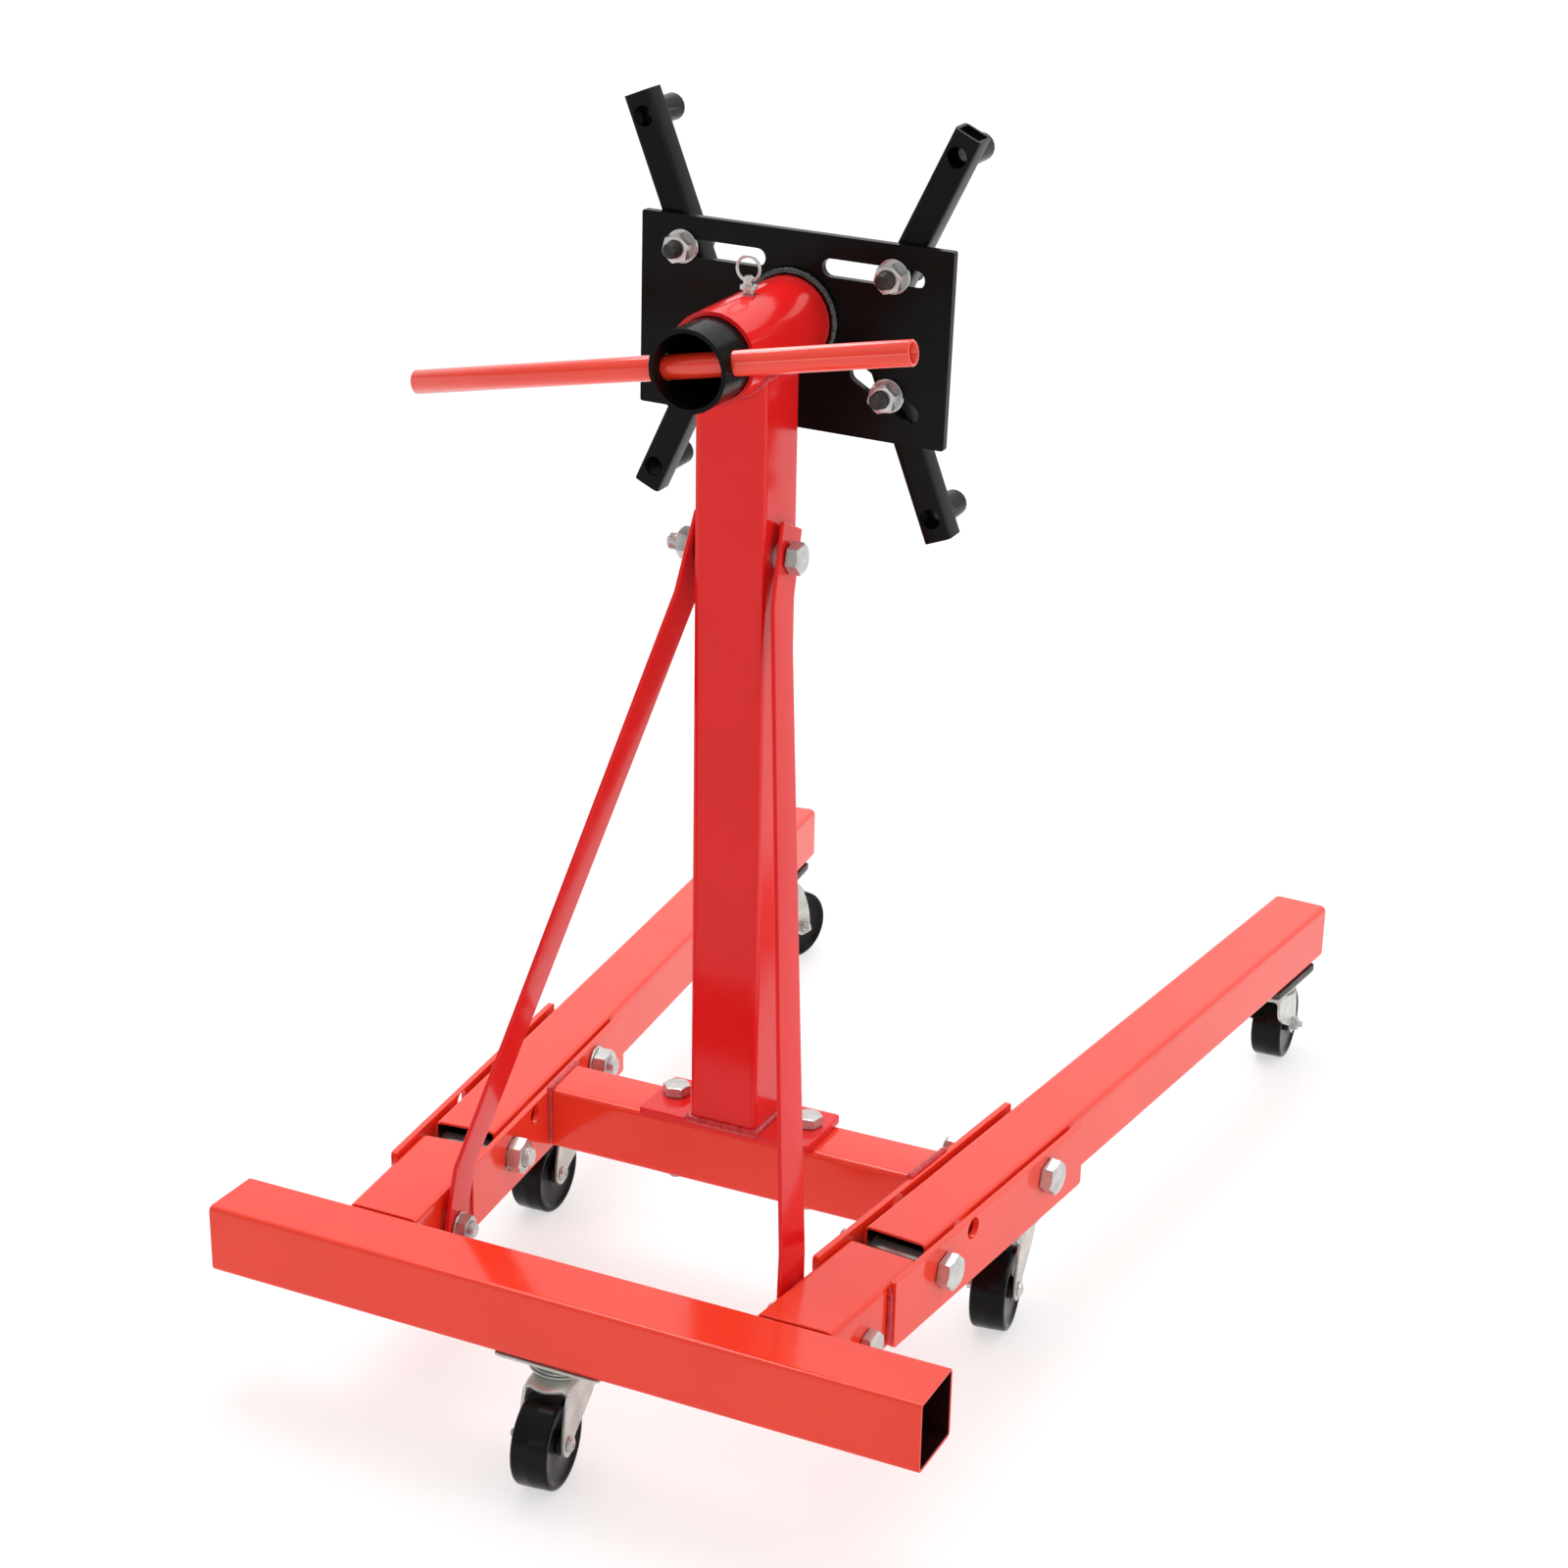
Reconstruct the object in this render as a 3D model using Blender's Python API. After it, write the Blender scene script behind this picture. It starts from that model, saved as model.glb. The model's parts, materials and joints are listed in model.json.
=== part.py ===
"""Folding engine stand: a steel base with two folding legs, a post and a turning head.

Axes: +Z up from the floor, +Y from the rear crossbar towards the engine, +X to the right.
The origin is on the floor, at the middle of the stand's overall length and width.
All lengths are in metres.
"""
import bpy
import bmesh
import math
from mathutils import Matrix, Vector

# ---------------------------------------------------------------- driving dimensions
GAP = 0.0003                  # clearance between pieces that touch
ROUND_STEPS = 18              # sides of a bolt hole or washer
TURNED_STEPS = 28             # sides of a large turned piece
SHANK_STEPS = 12              # sides of a bolt's shank
SADDLE_STEPS = 48             # sides of the cutter for the post's saddle
CUT = 0.1                     # half the length of a cutter that goes right through
BITE = 0.02                   # half the length of a cutter through one wall
HOLE_ROOM = 0.0005            # a bolt hole's radius over its bolt's
FINE_ROOM = 0.0004            # the same at axles and studs

# square tubes
TUBE = 0.0635
TUBE_WALL = 0.003
TUBE_CORNER = 0.006

# swivel casters
WHEEL_RADIUS = 0.042
WHEEL_WIDTH = 0.033
CASTER_HEIGHT = 0.1095        # floor to the top of the mounting plate
CASTER_TRAIL = 0.038
CASTER_PLATE = (0.063, 0.105, 0.003)
RACEWAY_RADIUS = 0.0225
RACEWAY_DEPTH = 0.0085
KINGPIN_RADIUS = 0.006
FORK_SHEET = 0.0028
FORK_INNER = 0.0375           # clear width between the fork's legs
FORK_CROWN = 0.050            # length of the crown
FORK_EYE = 0.0115             # radius round the axle hole
AXLE_RADIUS = 0.004
AXLE_HEAD = 0.013             # across flats
AXLE_HEAD_DEPTH = 0.0053
AXLE_NUT_DEPTH = 0.0065
AXLE_PROUD = 0.003            # thread past the nut
KINGPIN_HEAD_RADIUS = 0.010
KINGPIN_HEAD_DEPTH = 0.0035
CASTER_PLATE_CORNER = 0.006
PACKING_CORNER = 0.004
FORK_CORNER = 0.004
FORK_SWELL = 0.003            # the fork's legs past its crown
FORK_SWELL_DROP = 0.010       # from the crown down to their widest place
WHEEL_STEPS = 24
WHEEL_SHOULDER = 0.0045
WHEEL_HUB_RADIUS = 0.0105
WHEEL_HUB_PROUD = 0.0012
WHEEL_DISH_DEPTH = 0.0045
WHEEL_DISH_RADIUS = 0.0290

# base
CROSSBAR = 0.066              # height and depth of the crossbar
CROSSBAR_CORNER = 0.005
PLATE_CORNER = 0.003
CROSSBAR_LENGTH = 0.700
CROSSBAR_Z = 0.1098           # underside of the crossbar
STUB_Z = 0.1122               # underside of the stubs
STUB_X = 0.2056               # centre line of a leg where it leaves the crossbar
STUB_WIDTH = 0.072
STUB_END = 0.148              # along the leg, from the crossbar's front face
SPLAY = math.radians(6.25)    # each leg points outwards by this angle
SIDE_PLATE_START = 0.098
SIDE_PLATE_END = 0.462
SIDE_PLATE_Z = 0.1150
SIDE_PLATE_HEIGHT = 0.065
SIDE_PLATE_SHEET = 0.006
CROSSMEMBER_Y = 0.3420        # rear face, from the crossbar's rear face
CROSSMEMBER_Z = 0.1170

# folding legs
LEG_START = 0.170
LEG_END = 1.112
LEG_Z = 0.1170
PIVOT_ALONG = 0.186
PIVOT_Z = 0.1515
PARK_ALONG = 0.239
PARK_Z = 0.1685
LOCK_ALONG = 0.386
LOCK_Z = 0.1575
BIG_BOLT_RADIUS = 0.0097      # leg pivot and lock bolts
BIG_HOLE_RADIUS = 0.0103
BIG_HEAD = 0.030              # width across flats
BIG_HEAD_DEPTH = 0.0125
BIG_NUT_DEPTH = 0.0145
BIG_PROUD = 0.006             # thread past the nut
BIG_WASHER = (0.0185, 0.0028)         # radius, thickness
MID_CASTER_ALONG = 0.394
FAR_CASTER_ALONG = 1.038
MID_HEADINGS = {"left": math.radians(2.0), "right": math.radians(8.0)}
FAR_HEADINGS = {"left": math.radians(160.0), "right": math.radians(181.0)}
MID_PACKING = (0.0720, 0.105, 0.0070)
FAR_PACKING = (0.0645, 0.105, 0.0072)

# post
POST = 0.070
POST_WALL = 0.003
POST_Y = 0.3700
BASE_PLATE = (0.180, 0.076, 0.008)
BASE_PLATE_Y = 0.3730
BASE_BOLT_X = 0.071
BASE_BOLT_Y = 0.3785
BASE_BOLT_RADIUS = 0.0078
BASE_BOLT_HEAD = 0.024
BASE_HEAD_DEPTH = 0.010
BASE_NUT_DEPTH = 0.012
BASE_PROUD = 0.005
BASE_PLATE_CORNER = 0.004
SADDLE_DROP = 0.020                   # post's end below the head's axis, before the saddle

# braces, bent from flat bar
BRACE_WIDTH = 0.041
BRACE_SHEET = 0.004
BRACE_TOP = (0.0425, 0.3748, 0.7740)
BRACE_TOP_BEND = (0.0480, 0.3462, 0.7040)
BRACE_LOW_BEND = (0.1665, 0.1420, 0.1955)
BRACE_FOOT_LEAN = 0.15                # forwards per unit of height
BRACE_FOOT_BELOW = 0.018              # bar below and above the stub bolt, up to the low bend
BRACE_FOOT_ABOVE = 0.016
BRACE_TILT_ROOM = 0.0014              # the bar leans under the bolt's head
POST_SPACER = 0.0055                  # sleeve between the post and a brace
STUB_SPACER = 0.0045
SPACER_RADIUS = 0.0125
STUB_BOLT_ALONG = 0.0610
STUB_BOLT_Z = 0.1375
BRACE_BOLT_Z = 0.7475
BRACE_BOLT_RADIUS = 0.0078
BRACE_BOLT_HEAD = 0.026
BRACE_HEAD_DEPTH = 0.012
BRACE_NUT_DEPTH = 0.013
BRACE_PROUD = 0.012

# head: the sleeve's axis rises towards the engine
HEAD_Y = 0.3725
HEAD_Z = 0.9342
HEAD_TILT = math.radians(3.4)
HEAD_TURN = math.radians(2.6)         # how far the turning head stands from level
SLEEVE_RADIUS = 0.0410
SLEEVE_BORE = 0.0371
SLEEVE_REAR = -0.071
SLEEVE_FRONT = 0.077
HEAD_TUBE_RADIUS = 0.0365
HEAD_TUBE_BORE = 0.0325
HEAD_TUBE_REAR = -0.1175
PLATE_REAR = 0.0846
PLATE_SHEET = 0.008
PLATE_WIDTH = 0.305
PLATE_HEIGHT = 0.178
PLATE_DROP = 0.0098                   # plate centre below the axis
PLATE_FRONT = PLATE_REAR + PLATE_SHEET
INDEX_HOLES = 8
INDEX_HOLE_RADIUS = 0.0056
PIN_RADIUS = 0.0050
PLATE_EDGE = 0.002                    # radius of the head plate's corners

# slots in the head plate: the two ends of the centre line on the right-hand side
SLOT_WIDTH = 0.0165
UPPER_SLOT = ((0.036, 0.0505), (0.118, 0.0505))
LOWER_SLOT = ((0.067, -0.0405), (0.119, -0.0700))

# mounting arms: name, side, slot, place along the slot, lean from upright
ARMS = (
    ("upper_left", -1, UPPER_SLOT, 0.93, math.radians(-22.4)),
    ("upper_right", 1, UPPER_SLOT, 0.73, math.radians(24.7)),
    ("lower_left", -1, LOWER_SLOT, 0.50, math.radians(-155.8)),
    ("lower_right", 1, LOWER_SLOT, 0.55, math.radians(157.8)),
)
ARM = 0.027
ARM_WALL = 0.003
ARM_CORNER = 0.004
ARM_BOSS_BITE = 0.0015                # boss let into the arm's wall
ARM_REACH = 0.1400                    # stud to far end
ARM_TAIL = 0.022                      # stud to near end
ARM_BOSS_FROM_END = 0.0215
ARM_BOSS_RADIUS = 0.0125
ARM_BOSS_BORE = 0.0080
ARM_BOSS_LENGTH = 0.030
ARM_REAR_HOLE = 0.0095
STUD_RADIUS = 0.0074
STUD_HEAD = 0.024
STUD_HEAD_DEPTH = 0.009
WASHER_RADIUS = 0.0160
WASHER_SHEET = 0.003
NUT_DEPTH = 0.013
STUD_PROUD = 0.011                    # stud past its nut

# handle bar through the head tube
BAR_LENGTH = 0.485
BAR_RADIUS = 0.011
BAR_BORE = 0.0085
BAR_AXIS_PLACE = -0.0942              # along the head's axis
BAR_TILT = math.radians(8.9)
BAR_OFFSET = -0.045                   # bar centre from the head's axis
BAR_HOLE_RADIUS = 0.0118

# lock pin and its ring
PIN_TIP = 0.0369
PIN_COLLAR = 0.0452
PIN_EYE = 0.0515
RING_RADIUS = 0.0108
RING_WIRE = 0.0014
PIN_COLLAR_RADIUS = 0.0078
PIN_COLLAR_DEPTH = 0.0028
PIN_NECK_RADIUS = 0.0048
PIN_EYE_RADIUS = 0.0029
PIN_EYE_ABOVE = 0.0046                # eye's middle to the pin's top

# ---------------------------------------------------------------- derived places
CROSSBAR_FRONT = CROSSBAR
REAR_CASTER_Y = CROSSBAR / 2 - 0.001
REAR_CASTER_HEADING = math.radians(7.0)
REAR_PLATE_TURN = math.radians(90)
REAR_REACH = (REAR_CASTER_Y - CASTER_TRAIL * math.cos(REAR_CASTER_HEADING)
              - WHEEL_RADIUS * math.cos(REAR_CASTER_HEADING)
              - WHEEL_WIDTH / 2 * math.sin(REAR_CASTER_HEADING))
FRONT_REACH = CROSSBAR_FRONT + LEG_END * math.cos(SPLAY) + TUBE / 2 * math.sin(SPLAY)
REAR_FACE = -(REAR_REACH + FRONT_REACH) / 2      # crossbar's rear face in the stand's frame
SIDES = (("left", -1), ("right", 1))

TO_X = Matrix.Rotation(math.radians(90), 4, "Y")      # turns a part's Z axis to +X
TO_Y = Matrix.Rotation(math.radians(-90), 4, "X")     # turns a part's Z axis to +Y


# ---------------------------------------------------------------- outlines
def rounded_rect(width, height, radius, steps=2):
    """Counter-clockwise outline of a rectangle with round corners."""
    points = []
    for quarter, (sx, sy) in enumerate(((1, 1), (-1, 1), (-1, -1), (1, -1))):
        for step in range(steps + 1):
            angle = math.radians(90) * (quarter + step / steps)
            points.append((sx * (width / 2 - radius) + radius * math.cos(angle),
                           sy * (height / 2 - radius) + radius * math.sin(angle)))
    return points


def circle(radius, steps=ROUND_STEPS, middle=(0.0, 0.0)):
    turn = 2 * math.pi / steps
    return [(middle[0] + radius * math.cos(turn * i), middle[1] + radius * math.sin(turn * i))
            for i in range(steps)]


def hexagon(across_flats):
    corner = across_flats / math.sqrt(3)
    return [(corner * math.cos(math.radians(60 * i)), corner * math.sin(math.radians(60 * i)))
            for i in range(6)]


# ---------------------------------------------------------------- solids
def solid(name, bm):
    """Turn a closed bmesh into an object with its faces pointing out."""
    bmesh.ops.recalc_face_normals(bm, faces=bm.faces)
    mesh = bpy.data.meshes.new(name)
    bm.to_mesh(mesh)
    bm.free()
    obj = bpy.data.objects.new(name, mesh)
    bpy.context.scene.collection.objects.link(obj)
    return obj


def moved(obj, matrix):
    """Bake a transform into an object's mesh."""
    obj.data.transform(matrix)
    return obj


def prism(outline, low, high, bottom_slope=None):
    """Extrude an outline from low to high; bottom_slope(x) adds to the low end's height."""
    bm = bmesh.new()
    bottom = [bm.verts.new((x, y, low + (bottom_slope(x) if bottom_slope else 0.0)))
              for x, y in outline]
    top = [bm.verts.new((x, y, high)) for x, y in outline]
    bm.faces.new(bottom)
    bm.faces.new(top)
    count = len(outline)
    for i in range(count):
        bm.faces.new((bottom[i], bottom[(i + 1) % count], top[(i + 1) % count], top[i]))
    return solid("prism", bm)


def pipe(outer, inner, low, high, low_slope=None, high_slope=None):
    """Hollow extrusion between two outlines of equal point count; a slope shears an end."""
    bm = bmesh.new()
    rings = []
    for outline in (outer, inner):
        for level, slope in ((low, low_slope), (high, high_slope)):
            rings.append([bm.verts.new((x, y, level + (slope(x) if slope else 0.0)))
                          for x, y in outline])
    outer_low, outer_high, inner_low, inner_high = rings
    count = len(outer)
    for a, b in ((outer_low, outer_high), (outer_high, inner_high),
                 (inner_high, inner_low), (inner_low, outer_low)):
        for i in range(count):
            j = (i + 1) % count
            bm.faces.new((a[i], a[j], b[j], b[i]))
    return solid("pipe", bm)


def square_tube(width, height, corner, wall, low, high, **slopes):
    outer = rounded_rect(width, height, corner)
    inner = rounded_rect(width - 2 * wall, height - 2 * wall, corner - wall)
    return pipe(outer, inner, low, high, **slopes)


def round_tube(outer_radius, inner_radius, low, high, steps=ROUND_STEPS):
    return pipe(circle(outer_radius, steps), circle(inner_radius, steps), low, high)


def lathe(profile, steps=ROUND_STEPS):
    """Turn a closed (radius, height) profile about the Z axis; radius 0 gives a pole."""
    bm = bmesh.new()
    rings = []
    for radius, height in profile:
        if radius == 0.0:
            rings.append([bm.verts.new((0.0, 0.0, height))] * steps)
        else:
            rings.append([bm.verts.new((x, y, height)) for x, y in circle(radius, steps)])
    for a, b in zip(rings, rings[1:] + rings[:1]):
        for i in range(steps):
            j = (i + 1) % steps
            corners = []
            for vert in (a[i], a[j], b[j], b[i]):
                if vert not in corners:
                    corners.append(vert)
            if len(corners) > 2:
                bm.faces.new(corners)
    return solid("lathe", bm)


def combine(target, others, operation):
    """Join or cut with exact Booleans, bake the result and drop the other objects."""
    for other in others:
        modifier = target.modifiers.new("combine", "BOOLEAN")
        modifier.object = other
        modifier.operation = operation
        modifier.solver = "EXACT"
    graph = bpy.context.evaluated_depsgraph_get()
    mesh = bpy.data.meshes.new_from_object(target.evaluated_get(graph))
    target.modifiers.clear()
    target.data = mesh
    for other in others:
        bpy.data.objects.remove(other)
    return target


def fuse(target, *others):
    return combine(target, others, "UNION")


def cut(target, *others):
    return combine(target, others, "DIFFERENCE")


def drill(radius, start, end, steps=ROUND_STEPS):
    """Round cutter between two points."""
    start = Vector(start)
    end = Vector(end)
    direction = end - start
    turn = direction.to_track_quat("Z", "Y").to_matrix().to_4x4()
    body = prism(circle(radius, steps), 0.0, direction.length)
    return moved(body, Matrix.Translation(start) @ turn)


# ---------------------------------------------------------------- materials and placing
def paint(name, colour, roughness, metallic=0.0):
    made = bpy.data.materials.new(name)
    made.use_nodes = True
    shader = made.node_tree.nodes["Principled BSDF"]
    shader.inputs["Base Color"].default_value = (*colour, 1.0)
    shader.inputs["Roughness"].default_value = roughness
    shader.inputs["Metallic"].default_value = metallic
    return made


def frame(name, location, rotation=(0.0, 0.0, 0.0), parent=None):
    empty = bpy.data.objects.new(name, None)
    bpy.context.scene.collection.objects.link(empty)
    empty.location = location
    empty.rotation_euler = rotation
    empty.parent = parent
    return empty


def place(obj, name, material, location=(0.0, 0.0, 0.0), rotation=(0.0, 0.0, 0.0), parent=None):
    """Name a finished solid, give it its finish and set it in place."""
    obj.name = name
    obj.data.name = name
    obj.data.materials.clear()
    obj.data.materials.append(material)
    obj.data.shade_smooth()
    obj.data.set_sharp_from_angle(angle=math.radians(32))
    obj.location = location
    obj.rotation_euler = rotation
    obj.parent = parent
    return obj


# ---------------------------------------------------------------- fasteners
def bolt(radius, across_flats, grip, head_depth, nut_depth, proud, washer=None, spacers=()):
    """Bolt along Z with its nut, washer and spacer sleeves; the head's underside is at 0."""
    shank = prism(circle(radius, SHANK_STEPS), -head_depth / 2, grip + nut_depth + proud)
    head = prism(hexagon(across_flats), -head_depth, -GAP)
    nut_start = grip + GAP
    pieces = [head]
    pieces += [prism(circle(SPACER_RADIUS), low, high) for low, high in spacers]
    if washer:
        pieces.append(prism(circle(washer[0]), nut_start, nut_start + washer[1]))
        nut_start += washer[1] - GAP / 2
    pieces.append(prism(hexagon(across_flats), nut_start, nut_start + nut_depth))
    return fuse(shank, *pieces)


# ---------------------------------------------------------------- casters
def caster_mount(packing=None):
    """Top plate with its raceway and kingpin; z = 0 is the mounting face."""
    width, length, sheet = CASTER_PLATE
    plate = prism(rounded_rect(width, length, CASTER_PLATE_CORNER), -sheet, -GAP)
    race_low = -sheet - RACEWAY_DEPTH
    raceway = lathe(((0.0, -sheet / 2), (RACEWAY_RADIUS - 0.002, -sheet / 2),
                     (RACEWAY_RADIUS, -sheet - 0.002), (RACEWAY_RADIUS, race_low + 0.0025),
                     (RACEWAY_RADIUS - 0.0025, race_low), (0.0, race_low)))
    head_top = race_low - FORK_SHEET - 2 * GAP
    head_low = head_top - KINGPIN_HEAD_DEPTH
    kingpin = lathe(((0.0, -sheet - 0.001), (KINGPIN_RADIUS, -sheet - 0.001),
                     (KINGPIN_RADIUS, head_top), (KINGPIN_HEAD_RADIUS, head_top),
                     (KINGPIN_HEAD_RADIUS - 0.001, head_low + 0.0005), (0.0, head_low)),
                    SHANK_STEPS)
    pieces = [raceway, kingpin]
    if packing:
        pieces.append(prism(rounded_rect(packing[0], packing[1], PACKING_CORNER),
                            -sheet / 2, packing[2]))
    return fuse(plate, *pieces)


def caster_fork():
    """Pressed fork; origin on the kingpin's axis at the mounting face, wheel towards -Y."""
    top = -CASTER_PLATE[2] - RACEWAY_DEPTH - GAP
    low = top - FORK_SHEET
    width = FORK_INNER + 2 * FORK_SHEET
    axle_z = WHEEL_RADIUS - CASTER_HEIGHT
    crown = prism(rounded_rect(width, FORK_CROWN, FORK_CORNER), low, top)
    # one leg's outline in its own plane: (y, z), tapering down to a round eye at the axle
    eye = [(-CASTER_TRAIL + FORK_EYE * math.cos(math.radians(a)),
            axle_z + FORK_EYE * math.sin(math.radians(a))) for a in range(200, 351, 25)]
    back = FORK_CROWN / 2
    root = low + FINE_ROOM
    swell = low - FORK_SWELL_DROP
    outline = eye + [(back - FORK_SWELL, swell), (back, root), (-back, root),
                     (-back - FORK_SWELL, swell)]
    to_side = Matrix(((0, 0, 1, 0), (1, 0, 0, 0), (0, 1, 0, 0), (0, 0, 0, 1)))
    legs = [moved(prism(outline, sign * (FORK_INNER / 2) - (FORK_SHEET if sign < 0 else 0.0),
                        sign * (FORK_INNER / 2) + (FORK_SHEET if sign > 0 else 0.0)), to_side)
            for sign in (-1, 1)]
    fork = fuse(crown, *legs)
    return cut(fork,
               drill(KINGPIN_RADIUS + HOLE_ROOM, (0, 0, low - BITE), (0, 0, top + BITE),
                     SHANK_STEPS),
               drill(AXLE_RADIUS + FINE_ROOM, (-width, -CASTER_TRAIL, axle_z),
                     (width, -CASTER_TRAIL, axle_z), SHANK_STEPS))


def caster_axle():
    """Axle bolt along X, centred on the wheel."""
    grip = FORK_INNER + 2 * FORK_SHEET + 2 * GAP
    axle = bolt(AXLE_RADIUS, AXLE_HEAD, grip, AXLE_HEAD_DEPTH, AXLE_NUT_DEPTH, AXLE_PROUD)
    return moved(axle, TO_X @ Matrix.Translation((0, 0, -grip / 2)))


def caster_wheel():
    """Wheel turned about X: crowned tread, dished sides and a hub."""
    half = WHEEL_WIDTH / 2
    hub_end = half + WHEEL_HUB_PROUD
    dish = half - WHEEL_DISH_DEPTH
    side = [(AXLE_RADIUS + FINE_ROOM, hub_end), (WHEEL_HUB_RADIUS, hub_end),
            (WHEEL_HUB_RADIUS + 0.002, dish), (WHEEL_DISH_RADIUS, dish),
            (WHEEL_DISH_RADIUS + 0.002, half - 0.0005)]
    arc = [(WHEEL_RADIUS - WHEEL_SHOULDER * (1 - math.sin(math.radians(a))),
            half - WHEEL_SHOULDER * (1 - math.cos(math.radians(a)))) for a in (0, 45, 88)]
    upper = side + arc
    profile = upper + [(r, -z) for r, z in reversed(upper)]
    return moved(lathe(profile, WHEEL_STEPS), TO_X)


def add_caster(tag, parent, location, heading, finishes, packing=None, plate_turn=0.0):
    """One swivel caster; heading turns the trailing wheel about the kingpin."""
    place(caster_mount(packing), f"caster_plate_{tag}", finishes["zinc"], location,
          (0.0, 0.0, plate_turn), parent)
    swivel = frame(f"swivel_{tag}", location, (0.0, 0.0, heading), parent)
    place(caster_fork(), f"caster_fork_{tag}", finishes["zinc"], parent=swivel)
    hub = (0.0, -CASTER_TRAIL, WHEEL_RADIUS - CASTER_HEIGHT)
    place(caster_axle(), f"caster_axle_{tag}", finishes["zinc"], hub, parent=swivel)
    place(caster_wheel(), f"caster_wheel_{tag}", finishes["tread"], hub, parent=swivel)


# ---------------------------------------------------------------- base
def crossbar():
    half = CROSSBAR_LENGTH / 2
    return moved(square_tube(CROSSBAR, CROSSBAR, CROSSBAR_CORNER, TUBE_WALL, -half, half), TO_X)


def stub(side):
    """Fixed tube that carries a leg; its rear end is mitred to the crossbar."""
    def mitre(x):
        return (GAP + side * x * math.sin(SPLAY)) / math.cos(SPLAY)

    body = moved(square_tube(STUB_WIDTH, TUBE, TUBE_CORNER, TUBE_WALL, 0.0, STUB_END,
                             low_slope=mitre), TO_Y)
    bolt_z = STUB_BOLT_Z - STUB_Z - TUBE / 2
    return cut(body, drill(BRACE_BOLT_RADIUS + HOLE_ROOM, (-CUT, STUB_BOLT_ALONG, bolt_z),
                           (CUT, STUB_BOLT_ALONG, bolt_z)))


def side_plate():
    """Flat plate in the Y-Z plane with the pivot, parking and lock holes; origin at its centre."""
    length = SIDE_PLATE_END - SIDE_PLATE_START
    plate = moved(prism(rounded_rect(SIDE_PLATE_HEIGHT, length, PLATE_CORNER),
                        -SIDE_PLATE_SHEET / 2, SIDE_PLATE_SHEET / 2), TO_X)
    middle_y = (SIDE_PLATE_START + SIDE_PLATE_END) / 2
    middle_z = SIDE_PLATE_Z + SIDE_PLATE_HEIGHT / 2
    holes = []
    for along, height in ((PIVOT_ALONG, PIVOT_Z), (PARK_ALONG, PARK_Z), (LOCK_ALONG, LOCK_Z)):
        y = along - middle_y
        z = height - middle_z
        holes.append(drill(BIG_HOLE_RADIUS, (-BITE, y, z), (BITE, y, z)))
    return cut(plate, *holes)


def leg():
    """Folding leg tube; origin on the pivot's axis, reaching along +Y."""
    rise = LEG_Z + TUBE / 2 - PIVOT_Z
    tube = moved(square_tube(TUBE, TUBE, TUBE_CORNER, TUBE_WALL,
                             LEG_START - PIVOT_ALONG, LEG_END - PIVOT_ALONG), TO_Y)
    moved(tube, Matrix.Translation((0, 0, rise)))
    lock_y = LOCK_ALONG - PIVOT_ALONG
    lock_z = LOCK_Z - PIVOT_Z
    return cut(tube, drill(BIG_HOLE_RADIUS, (-CUT, 0, 0), (CUT, 0, 0)),
               drill(BIG_HOLE_RADIUS, (-CUT, lock_y, lock_z), (CUT, lock_y, lock_z)))


def crossmember():
    """Tube between the two inner side plates, with its ends cut to their splay."""
    inner = STUB_WIDTH / 2 + SIDE_PLATE_SHEET + 3 * GAP

    def end(y):
        from_crossbar = CROSSMEMBER_Y + TUBE / 2 + y - CROSSBAR_FRONT
        return STUB_X + from_crossbar * math.tan(SPLAY) - inner / math.cos(SPLAY)

    outer = rounded_rect(TUBE, TUBE, TUBE_CORNER)
    hollow = rounded_rect(TUBE - 2 * TUBE_WALL, TUBE - 2 * TUBE_WALL, TUBE_CORNER - TUBE_WALL)
    tube = pipe(outer, hollow, 0.0, 0.0, low_slope=lambda y: -end(y), high_slope=end)
    # outline x is the tube's Y, outline y its Z, extrusion its X
    moved(tube, Matrix(((0, 0, 1, 0), (1, 0, 0, 0), (0, 1, 0, 0), (0, 0, 0, 1))))
    bolt_y = BASE_BOLT_Y - CROSSMEMBER_Y - TUBE / 2
    holes = [drill(BASE_BOLT_RADIUS + HOLE_ROOM, (sx * BASE_BOLT_X, bolt_y, -TUBE),
                   (sx * BASE_BOLT_X, bolt_y, TUBE)) for sx in (-1, 1)]
    return cut(tube, *holes)


def lock_bolt_head():
    """Head end of a lock bolt: head outside, shank ending inside the outer side plate."""
    shank = prism(circle(BIG_BOLT_RADIUS), -BIG_HEAD_DEPTH / 2, SIDE_PLATE_SHEET - HOLE_ROOM)
    return fuse(shank, prism(hexagon(BIG_HEAD), -BIG_HEAD_DEPTH, -GAP))


def lock_bolt_nut():
    """Thread end of a lock bolt with washer and nut, from inside the inner side plate."""
    washer_radius, washer_top = BIG_WASHER
    nut_top = washer_top + BIG_NUT_DEPTH
    shank = prism(circle(BIG_BOLT_RADIUS), -(SIDE_PLATE_SHEET - HOLE_ROOM), nut_top + BIG_PROUD)
    washer = prism(circle(washer_radius), GAP, washer_top)
    nut = prism(hexagon(BIG_HEAD), washer_top - GAP, nut_top)
    return fuse(shank, washer, nut)


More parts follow.
